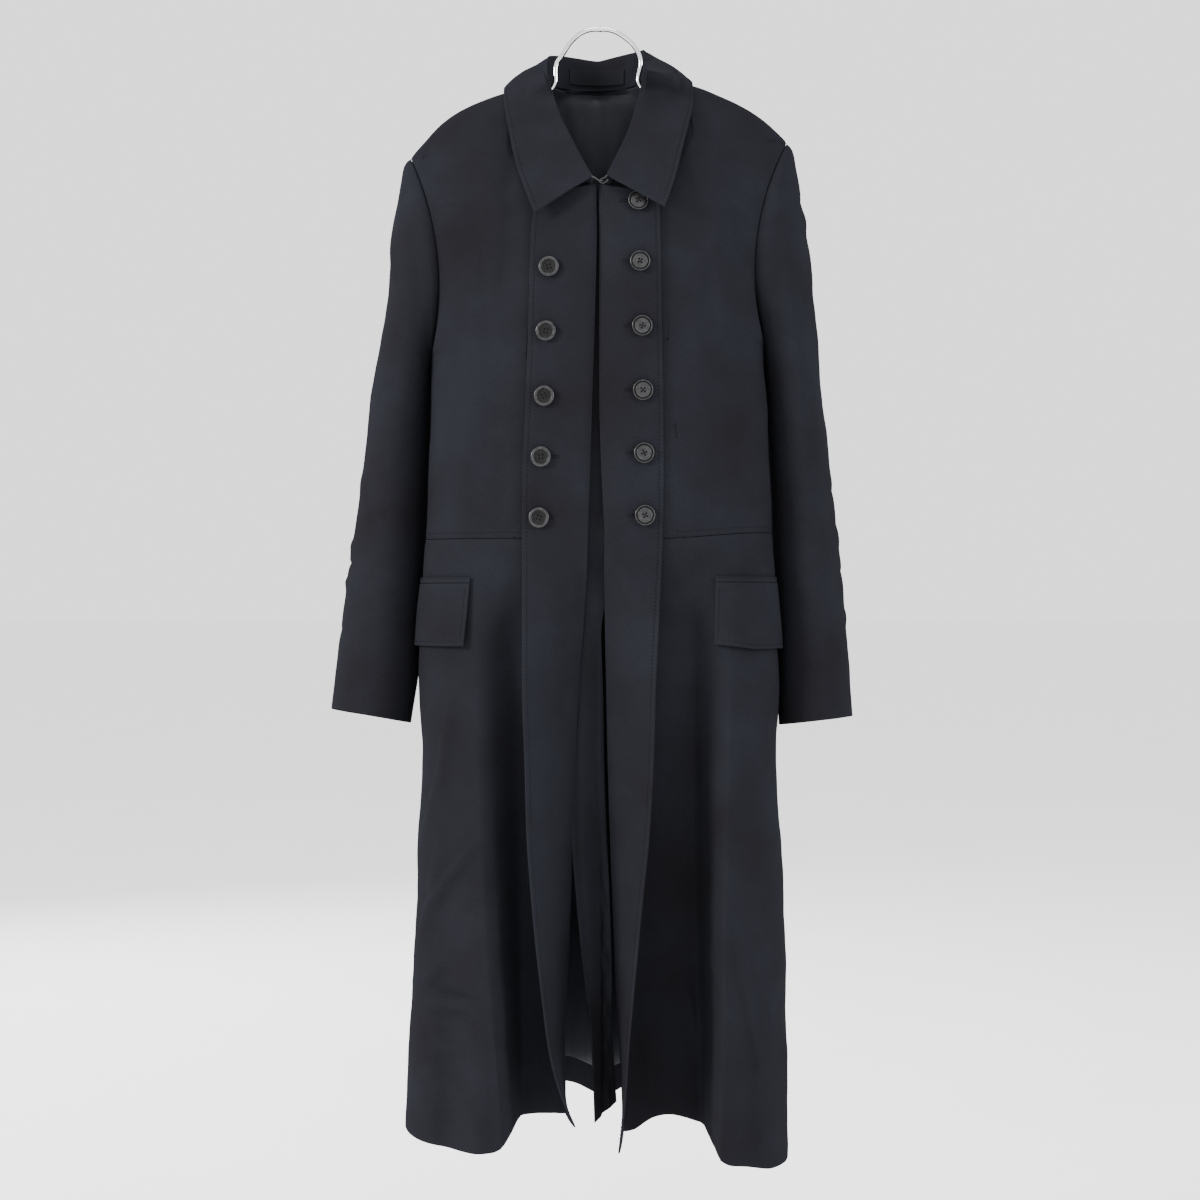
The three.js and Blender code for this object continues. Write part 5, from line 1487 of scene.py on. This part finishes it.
def dressed(obj, finish, slot, *replaced):
    obj.data.materials.clear()
    obj.data.materials.append(finish)
    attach(obj, "root")
    if replaced:
        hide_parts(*replaced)
    return obj


bodice, skirt, bodice_share = {}, {}, {}
for side in BOTH:
    bodice[side], bodice_share[side] = make_bodice_face(side)
    skirt[side] = make_skirt_face(side)
back_face, back_share = make_back_face()
fronts = {side: quad_tree(bodice[side], skirt[side]) for side in BOTH}
chest = {side: relief(side, fronts[side], *RELIEF_OF["chest"]) for side in BOTH}
inside_left = relief("left", fronts["left"], *RELIEF_OF["inside"], np.fmax)
skirt_relief = {side: relief(side, quad_tree(skirt[side]), *RELIEF_OF["hips"]) for side in BOTH}
lapels = {side: make_lapel_face(side) for side in BOTH}
layered = {side: quad_tree(bodice[side], lapels[side]) for side in BOTH}
outermost = {side: relief(side, layered[side], *RELIEF_OF["shoulders"]) for side in BOTH}
lapel_trees = {side: quad_tree(lapels[side]) for side in BOTH}
collar_face = make_collar_face()

ACROSS_SEAM = np.array([0.0, 1.0, 0.0])


def shoulder_cut(face, share):
    cut = np.zeros_like(face)
    cut[0, share >= NECK_SHARE] = ACROSS_SEAM
    return cut


cloth_pieces, stitched_on = {}, {}


def add_cloth(name, face, thick, finish=None, slot="wool_cloth", replaced=None, **options):
    obj = cloth_shell(name, face, thick, **options)
    cloth_pieces[name] = obj
    dressed(obj, finish or wool, slot, *(replaced or ()))
    return obj


def dress_front(side):
    mirrored = side == "right"
    cut = shoulder_cut(bodice[side], bodice_share[side])
    add_cloth(f"coat_front_{side}_bodice", bodice[side], CLOTH, replaced=[f"front_{side}_bodice"],
              flip=mirrored, cut=cut, worn="")
    add_cloth(f"coat_front_{side}_skirt", skirt[side], CLOTH, replaced=[f"front_{side}_skirt"],
              flip=mirrored, worn="b")
    add_cloth(f"coat_sleeve_{side}", make_sleeve_face(side), CLOTH, replaced=[f"sleeve_{side}"], closed=True,
              flip=not mirrored, worn="b")
    add_cloth(f"coat_lapel_{side}", lapels[side], CLOTH, replaced=[f"lapel_{side}"], flip=not mirrored)
    add_cloth(f"coat_flap_{side}", make_flap_face(side), CLOTH, replaced=[f"pocket_flap_{side}"],
              flip=mirrored)
    add_cloth(f"coat_welt_{side}", make_welt_face(side), WELT["thick"], replaced=[f"pocket_welt_{side}"],
              flip=mirrored, rim=0.7)


for side in BOTH:
    dress_front(side)
for side in BOTH:
    panel, share = half_of_back(side)
    add_cloth(f"coat_back_{side}", panel, CLOTH, replaced=[f"back_{side}"], flip=True,
              cut=shoulder_cut(panel, share), worn="b")
add_cloth("coat_under_placket", make_placket_face(), PLACKET_THICK, replaced=["under_placket"])
add_cloth("coat_collar", collar_face, CLOTH, replaced=["collar"], worn="tbr")

# The lining's pleat and slack folds below the neck seam: place across, half width and height.
NECK_FOLDS = ((-4, 6, 8.0), (-31, 8, 5.0), (-18, 6, 3.5), (13, 7, 5.0), (30, 8, 4.0))
NECK_FOLDS_MEET = 230
SLACK_STARTS = (3, 16)
SLACK_ENDS = (90, 170)


def hang_slack(inside):
    below = inside[:1, :, 2] - inside[..., 2]
    held = smooth(*SLACK_STARTS, below) * (1 - smooth(*SLACK_ENDS, below))
    for place, width, height in NECK_FOLDS:
        off = inside[..., 0] - place * (1 - below / NECK_FOLDS_MEET)
        inside[..., 1] -= height * held * bell(off, width)


def make_lining_face():
    thin = back_face[::2, ::2]
    thin = thin[:-2]
    cut = shoulder_cut(thin, back_share[::2])
    inside = thin - grid_normals(thin, flip=True, cut=cut) * (CLOTH + 2 * LAY)
    inside[0, :, 1] += LAY
    hang_slack(inside)
    return inside, cut


lining_face, lining_cut = make_lining_face()
add_cloth("coat_back_lining", lining_face, LINING, lining_cloth, "lining", ["back_lining"], flip=True,
          cut=lining_cut, rim=0.6, worn="b")


# Small hard pieces, shaped in edit mode and then set in their places.
def start_fresh():
    if bpy.context.mode != "OBJECT":
        bpy.ops.object.mode_set(mode="OBJECT")
    bpy.ops.object.select_all(action="DESELECT")


def take(*objects):
    """Selects these objects alone, the last of them active."""
    start_fresh()
    for obj in objects:
        obj.select_set(True)
    bpy.context.view_layer.objects.active = objects[-1]


def pick_faces(obj, test):
    bpy.ops.mesh.select_mode(type="FACE")
    bpy.ops.mesh.select_all(action="DESELECT")
    mesh = bmesh.from_edit_mesh(obj.data)
    for face in [f for f in mesh.faces if test(f.normal)]:
        face.select = True
    mesh.select_flush_mode()
    bmesh.update_edit_mesh(obj.data)


def pick_verts(obj, test):
    bpy.ops.mesh.select_mode(type="VERT")
    bpy.ops.mesh.select_all(action="DESELECT")
    mesh = bmesh.from_edit_mesh(obj.data)
    for vert in [v for v in mesh.verts if test(v.co / MM)]:
        vert.select = True
    mesh.select_flush_mode()
    bmesh.update_edit_mesh(obj.data)


def finish_shape(obj, *modifiers):
    """Leaves edit mode and applies each modifier, given as a kind and its settings."""
    bpy.ops.object.mode_set(mode="OBJECT")
    for kind, settings in modifiers:
        made = obj.modifiers.new(kind.lower(), kind)
        for key, value in settings.items():
            setattr(made, key, value)
        bpy.ops.object.modifier_apply(modifier=made.name)
    bpy.ops.object.shade_smooth_by_angle(angle=math.radians(38))


# A button's face, from its rim inwards: how far in each ring lies and how far it rises or falls.
BUTTON_RINGS = {
    "right": ((0.6, 0.4), (2.0, 0.1), (0.5, -1.4), (0.6, -0.4), (1.6, -0.1)),
    "left": ((0.3, 0.35), (0.7, 0.1), (0.4, -1.5), (1.0, 0), (0.4, 0.9), (0.5, 0.1), (1.8, 0.35)),
}
# The rings painted dark as shade in a button's recess: inside which radius the painted dark well begins and
# where it ends.
BUTTON_WELLS = {"right": (7.5, 0.0), "left": (9.3, 7.8)}
HOLE_OUT = 1.75
HOLE_RADIUS = 1.0
HOLE_DEPTH = 2.6
HOLE_SHADE = {"below": 0.25, "within": 3.4}
SEAT_SHARE = 0.85
FACING = 0.9
THREAD_RADIUS = 0.42
CROSSED = {"half": 2.6, "strands": ((0.1, math.pi / 4), (0.35, -math.pi / 4))}
PARALLEL = {"half": 2.0, "sunk": 0.25, "radius": THREAD_RADIUS * 0.8}
SHANK = {"height": 0.2, "half": 1.5, "radius": 1.2}


def drawn_out(obj, distance):
    """Moves each half of a piece outwards along X."""
    bpy.ops.object.mode_set(mode="EDIT")
    for way in (-1, 1):
        pick_verts(obj, lambda co: co.x * way > 0.01)
        bpy.ops.transform.translate(value=(way * distance * MM, 0, 0))
    bpy.ops.object.mode_set(mode="OBJECT")


def capsule(middle, half, radius, turn=0.0):
    """A short length of thread lying along X, turned about Z. Millimetres."""
    start_fresh()
    bpy.ops.mesh.primitive_uv_sphere_add(segments=10, ring_count=8, radius=radius * MM, location=(0, 0, 0))
    obj = bpy.context.object
    drawn_out(obj, half - radius)
    obj.data.transform(Matrix.Translation(Vector(middle) * MM) @ Matrix.Rotation(turn, 4, "Z"))
    bpy.ops.object.shade_smooth()
    return obj


def hole_cutter(floor):
    start_fresh()
    pins = []
    for x, y in ((1, 1), (1, -1), (-1, 1), (-1, -1)):
        place = (x * HOLE_OUT * MM, y * HOLE_OUT * MM, floor * MM)
        bpy.ops.mesh.primitive_cylinder_add(vertices=16, radius=HOLE_RADIUS * MM, depth=HOLE_DEPTH * MM,
                                            location=place)
        pins.append(bpy.context.object)
    take(*pins)
    bpy.ops.object.join()
    bpy.ops.object.transform_apply()
    return bpy.context.object


def turned_button(side):
    """A turned button lying face up, its seat at the origin, and the height of its middle."""
    start_fresh()
    bpy.ops.mesh.primitive_cylinder_add(vertices=48, radius=BUTTON_RADIUS * MM, depth=BUTTON_THICK * MM,
                                        location=(0, 0, BUTTON_THICK / 2 * MM))
    button = bpy.context.object
    bpy.ops.object.transform_apply()
    bpy.ops.object.mode_set(mode="EDIT")
    pick_faces(button, lambda n: n.z < -FACING)
    bpy.ops.transform.resize(value=(SEAT_SHARE, SEAT_SHARE, 1), center_override=(0, 0, 0))
    pick_faces(button, lambda n: n.z > FACING)
    for width, rise in BUTTON_RINGS[side]:
        bpy.ops.mesh.inset(thickness=width * MM, depth=rise * MM)
    floor = BUTTON_THICK + sum(rise for _, rise in BUTTON_RINGS[side])
    finish_shape(button, ("BEVEL", {"width": 0.32 * MM, "segments": 3, "limit_method": "ANGLE",
                                    "angle_limit": math.radians(24)}))
    cutter = hole_cutter(floor)
    take(button)
    finish_shape(button, ("BOOLEAN", {"object": cutter, "operation": "DIFFERENCE", "solver": "EXACT"}))
    bpy.data.objects.remove(cutter)
    return button, floor


def shade_button(side, button, floor):
    button.data.materials.clear()
    button.data.materials.append(horn)
    button.data.materials.append(horn_painted_shade)
    well_from, well_to = BUTTON_WELLS[side]
    for polygon in button.data.polygons:
        radius = math.hypot(polygon.center.x, polygon.center.y) / MM
        in_hole = polygon.center.z < (floor - HOLE_SHADE["below"]) * MM and radius < HOLE_SHADE["within"]
        # Faces in the recess and deep in the holes take the painted shade.
        polygon.material_index = 1 if well_to < radius < well_from or in_hole else 0


def sew_button(side, button, floor):
    if side == "left":
        strands = [capsule((0, 0, floor + above), CROSSED["half"], THREAD_RADIUS, turn)
                   for above, turn in CROSSED["strands"]]
    else:
        height = floor - PARALLEL["sunk"]
        strands = [capsule((x, 0, height), PARALLEL["half"], PARALLEL["radius"], math.pi / 2)
                   for x in (-HOLE_OUT, HOLE_OUT)]
    strands.append(capsule((0, 0, SHANK["height"]), SHANK["half"], SHANK["radius"]))
    for strand in strands:
        strand.data.materials.append(thread)
    take(*strands, button)
    bpy.ops.object.join()


def model_button(side):
    button, floor = turned_button(side)
    shade_button(side, button, floor)
    sew_button(side, button, floor)
    return button


FEEL_ROUND = 8


def on_lapel(side, out, z, lift):
    """The place on a lapel's face, with X along it to the wearer's left, Y up and Z out of it."""
    tree = lapel_trees[side]

    def face_at(x, height):
        hit = cloth_behind(tree, x, height)
        return hit if hit is not None else Vector((x, float(outermost[side](x, height)), height))

    x = SIDES[side] * out
    middle = face_at(x, z)
    along = (face_at(x + FEEL_ROUND, z) - face_at(x - FEEL_ROUND, z)).normalized()
    up = (face_at(x, z + FEEL_ROUND) - face_at(x, z - FEEL_ROUND)).normalized()
    out_of = along.cross(up).normalized()
    up = out_of.cross(along)
    turned = Matrix((along, up, out_of)).transposed().to_4x4()
    return Matrix.Translation((middle + out_of * lift) * MM) @ turned


def set_copy(master, name, place, slot, *replaced):
    obj = bpy.data.objects.new(name, master.data.copy())
    scene.collection.objects.link(obj)
    obj.data.transform(place)
    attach(obj, "root")
    if replaced:
        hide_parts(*replaced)
    return obj


# How far each button has turned on its thread, in degrees.
BUTTON_TURNS = (14, -9, 31, 4, -22, 17)


def make_buttons():
    for side in BOTH:
        master = model_button(side)
        for number, b in enumerate(BUTTONS[side]):
            place = on_lapel(side, b["out"], b["z"], BUTTON_LIFT)
            place = place @ Matrix.Rotation(math.radians(BUTTON_TURNS[number]), 4, "Z")
            node_name = f"button_{side}_{number + 1}"
            set_copy(master, f"coat_{node_name}", place, "button", node_name)
        bpy.data.objects.remove(master)


BUTTONHOLE = {"half": 11.5, "width": 1.25, "cord": 0.55, "toward_middle": 7.2, "sunk": 0.05}


def make_buttonholes():
    """A worked hole runs from under each button towards the coat's middle."""
    shape = BUTTONHOLE
    start_fresh()
    bpy.ops.mesh.primitive_torus_add(major_radius=shape["width"] * MM, minor_radius=shape["cord"] * MM,
                                     major_segments=24, minor_segments=8)
    ring = bpy.context.object
    drawn_out(ring, shape["half"] - shape["width"])
    bpy.ops.object.shade_smooth()
    ring.data.materials.append(thread)
    for side in BOTH:
        for number, b in enumerate(BUTTONS[side]):
            place = on_lapel(side, b["out"] - shape["toward_middle"], b["z"], -shape["sunk"])
            set_copy(ring, f"buttonhole_{side}_{number + 1}", place, "button")
    bpy.data.objects.remove(ring)


LABEL = {"from": -33, "to": 26, "top": -34, "bottom": -51, "thick": 0.8, "behind": 50, "ripple": 0.15}
NECK_TAPE = {"from": -38, "to": 32, "top": -55.5, "bottom": -62, "thick": 0.9, "behind": 46, "ripple": 0.5}
INSIDE_NECK = -25
RIPPLE_LENGTH = 7.0
STAND_COLUMNS = 28


def strip_inside_neck(spec, *faces):
    """A strip lying on faces at the back of the neck."""
    tree = quad_tree(*faces)
    across, down = columns_of("neck_strip")[0], rows_of("neck_strip")[:, 0]
    face = np.zeros((len(down), len(across), 3))
    for i, t in enumerate(down):
        for j, u in enumerate(across):
            x = mix(spec["from"], spec["to"], u)
            z = mix(spec["top"], spec["bottom"], t)
            hit = cloth_behind(tree, x, z, INSIDE_NECK)
            y = (hit.y if hit is not None else spec["behind"]) - LAY - spec["thick"]
            face[i, j] = (x, y - spec["ripple"] * (1 + math.sin(x / RIPPLE_LENGTH)), z)
    for _ in range(3):
        face[:, 1:-1, 1] = (face[:, :-2, 1] + face[:, 1:-1, 1] + face[:, 2:, 1]) / 3
    return face


def make_label():
    face = strip_inside_neck(LABEL, collar_face[:, :STAND_COLUMNS])
    add_cloth("coat_neck_label", face, LABEL["thick"], label_cloth, "label", ["neck_label"], rim=0.3)


def make_neck_tape():
    face = strip_inside_neck(NECK_TAPE, lining_face, collar_face[:, :STAND_COLUMNS])
    add_cloth("coat_hanging_tape", face, NECK_TAPE["thick"], wool, rim=0.4)


HOOK_AHEAD = -76.5
HOOK_HEIGHT = -179
WIRE_RADIUS = 0.8
HOOK_PATH = ((-8.6, 0.9, 5), (-4.6, 1.7, 2.6), (-1, 2, 0.4), (1.6, 1.9, 0), (2.9, 0.7, 0), (2.9, -0.7, 0),
             (1.6, -1.9, 0), (-1.4, -2.1, 0.4))
EYE_PATH = ((8.6, 1, 1.6), (4.8, 0.5, -1.6), (1.8, 0, -2), (0.2, 0, 0), (1.4, 0, 2), (4, 0.6, 3),
            (7.6, 1.1, 6))


def bent_wire(name, path, radius, finish, slot, *replaced):
    """A round wire or rod along a smooth path in millimetres."""
    start_fresh()
    data = bpy.data.curves.new(name, "CURVE")
    data.dimensions = "3D"
    data.bevel_depth = radius * MM
    data.bevel_resolution = 5
    data.resolution_u = 10
    data.use_fill_caps = True
    spline = data.splines.new("BEZIER")
    spline.bezier_points.add(len(path) - 1)
    for point, at in zip(spline.bezier_points, path):
        point.co = Vector(at) * MM
        point.handle_left_type = point.handle_right_type = "AUTO"
    obj = bpy.data.objects.new(name, data)
    scene.collection.objects.link(obj)
    take(obj)
    bpy.ops.object.convert(target="MESH")
    obj = bpy.context.object
    bpy.ops.object.shade_smooth_by_angle(angle=math.radians(50))
    return dressed(obj, finish, slot, *replaced)


def make_hook_and_eye():
    for name, path in (("neck_hook", HOOK_PATH), ("neck_eye", EYE_PATH)):
        placed = [(x, HOOK_AHEAD - ahead, HOOK_HEIGHT + up) for x, ahead, up in path]
        bent_wire(f"coat_{name}", placed, WIRE_RADIUS, japanned, "hook_wire", name)


ROD_RADIUS = 2.5
DOME = {
    "right": ((17, 5), (30, 15), (39, 28), (46.5, 40), (50, 64)),
    "left": ((15, 4.6), (27, 11.5), (37.5, 22), (43.4, 36), (43.4, 64)),
}
ARM = {"tip": 178, "clearance": 11.8, "turn_down": 12, "steps": (0.16, 0.38, 0.6, 0.78, 1)}
BEAD = {"radius": 3.1, "width": 2.6, "round": 1.0}


def hanger_half(side):
    path = [(0, 2.5)] + list(DOME[side])
    neck_out = DOME[side][-1][0]
    for step in ARM["steps"]:
        out = mix(neck_out, ARM["tip"], step)
        slope = float(shoulder[side](out + 2) - shoulder[side](out - 2)) / 4
        path.append((out, ARM["clearance"] * math.hypot(1, slope) - float(shoulder[side](out))))
    path.append((ARM["tip"] + 4, path[-1][1] + ARM["turn_down"]))
    return [(SIDES[side] * out, 0, -drop) for out, drop in path]


def make_hanger():
    path = hanger_half("right")[::-1] + hanger_half("left")[1:]
    bent_wire("coat_hanger_rod", path, ROD_RADIUS, chrome, "hanger_steel", "hanger_rod")
    start_fresh()
    turned = (0, math.pi / 2, 0)
    bpy.ops.mesh.primitive_cylinder_add(vertices=32, radius=BEAD["radius"] * MM, depth=BEAD["width"] * MM,
                                        location=(0, 0, -ROD_RADIUS * MM), rotation=turned)
    bead = bpy.context.object
    bead.name = "hanger_bead"
    bpy.ops.object.transform_apply()
    bpy.ops.object.mode_set(mode="EDIT")
    bpy.ops.mesh.select_all(action="SELECT")
    finish_shape(bead, ("BEVEL", {"width": BEAD["round"] * MM, "segments": 4, "limit_method": "ANGLE"}))
    dressed(bead, chrome, "hanger_steel")


# Stitches: one is modelled, and each seam's run of them is one piece.
STITCH = {"half": 1.35, "radius": 0.26, "step": 4.0, "ahead": 1.2, "sunk": 0.05}
STITCHED_IN = {"waist": 6.2, "lapel": 5.0, "flap": 4.5, "welt": 1.3, "collar": 4.5}


def along_line(values, lengths, at):
    return np.stack([np.interp(at, lengths, values[:, i]) for i in range(3)], -1)


def run_of_stitches(name, piece, line, normals):
    """Stitches along a line of points, lying on the cloth whose normals are given."""
    lengths = np.concatenate([[0], np.cumsum(np.linalg.norm(np.diff(line, axis=0), axis=1))])
    starts = np.arange(STITCH["step"] / 2, lengths[-1], STITCH["step"])
    centre = along_line(line, lengths, starts)
    out = unit(along_line(normals, lengths, starts))
    along = unit(along_line(line, lengths, starts + STITCH["ahead"]) - centre)
    across = unit(np.cross(out, along))
    shape = stitch_shape["verts"]
    verts = centre[:, None] + shape[None, :, :1] * along[:, None] + shape[None, :, 1:2] * across[:, None]
    verts = verts + (shape[None, :, 2:] + STITCH["radius"] - STITCH["sunk"]) * out[:, None]
    count = len(shape)
    faces = [[v + k * count for v in face] for k in range(len(starts)) for face in stitch_shape["faces"]]
    mesh = bpy.data.meshes.new(name)
    mesh.from_pydata((verts.reshape(-1, 3) * MM).tolist(), [], faces)
    stitched_on.setdefault(piece, []).append(dressed(smooth_object(name, mesh), thread, "wool_cloth"))


def model_stitch():
    start_fresh()
    bpy.ops.mesh.primitive_uv_sphere_add(segments=6, ring_count=4, radius=STITCH["radius"] * MM)
    obj = bpy.context.object
    bpy.ops.object.mode_set(mode="EDIT")
    bpy.ops.transform.resize(value=(STITCH["half"] / STITCH["radius"], 1, 1), center_override=(0, 0, 0))
    bpy.ops.object.mode_set(mode="OBJECT")
    verts = np.array([list(v.co / MM) for v in obj.data.vertices])
    faces = [list(p.vertices) for p in obj.data.polygons]
    bpy.data.objects.remove(obj)
    return {"verts": verts, "faces": faces}


def edge_line(face, normals, side_of, inset):
    """The line that lies inset millimetres inside one edge of a face, with the face's normals there."""
    if side_of in ("left", "right"):
        face, normals = face.transpose(1, 0, 2), normals.transpose(1, 0, 2)
    if side_of in ("bottom", "right"):
        face, normals = face[::-1], normals[::-1]
    run = np.cumsum(np.linalg.norm(np.diff(face, axis=0), axis=-1), axis=0)
    line, turned = [], []
    for j in range(face.shape[1]):
        i = int(np.searchsorted(run[:, j], inset))
        before = run[i - 1, j] if i else 0.0
        t = (inset - before) / max(run[i, j] - before, 1e-6)
        line.append(mix(face[i, j], face[i + 1, j], t))
        turned.append(normals[i, j])
    return np.array(line), np.array(turned)


def add_stitched_edge(piece, face, edge, inset, flip=False, keep=slice(None)):
    line, normals = edge_line(face, grid_normals(face, flip=flip), edge, inset)
    run_of_stitches(f"{piece}_{edge}_stitches", piece, line[keep], normals[keep])


def make_stitching():
    for side in BOTH:
        mirrored = side == "right"
        flap = make_flap_face(side)
        seams = (
            ("front_{}_bodice", bodice[side], "bottom", "waist", mirrored, slice(34, -2)),
            ("lapel_{}", lapels[side], "left", "lapel", not mirrored, slice(3, -4)),
            ("flap_{}", flap, "bottom", "flap", mirrored, slice(4, -4)),
            ("flap_{}", flap, "left", "flap", mirrored, slice(4, -4)),
            ("flap_{}", flap, "right", "flap", mirrored, slice(4, -4)),
            ("welt_{}", make_welt_face(side), "top", "welt", mirrored, slice(2, -2)),
        )
        for piece, face, edge, seam, flip, keep in seams:
            add_stitched_edge(f"coat_{piece.format(side)}", face, edge, STITCHED_IN[seam], flip, keep)
    add_stitched_edge("coat_collar", collar_face, "right", STITCHED_IN["collar"], False, slice(4, -4))


stitch_shape = model_stitch()


def make_floor():
    bpy.ops.object.select_all(action="DESELECT")
    bpy.ops.mesh.primitive_plane_add(size=FLOOR_WIDTH, location=(0, 0, FLOOR_HEIGHT))
    floor = bpy.context.object
    floor.name = "floor"
    floor.data.materials.append(pale)


make_floor()
make_buttons()
make_buttonholes()
make_label()
make_neck_tape()
make_hook_and_eye()
make_hanger()
make_stitching()
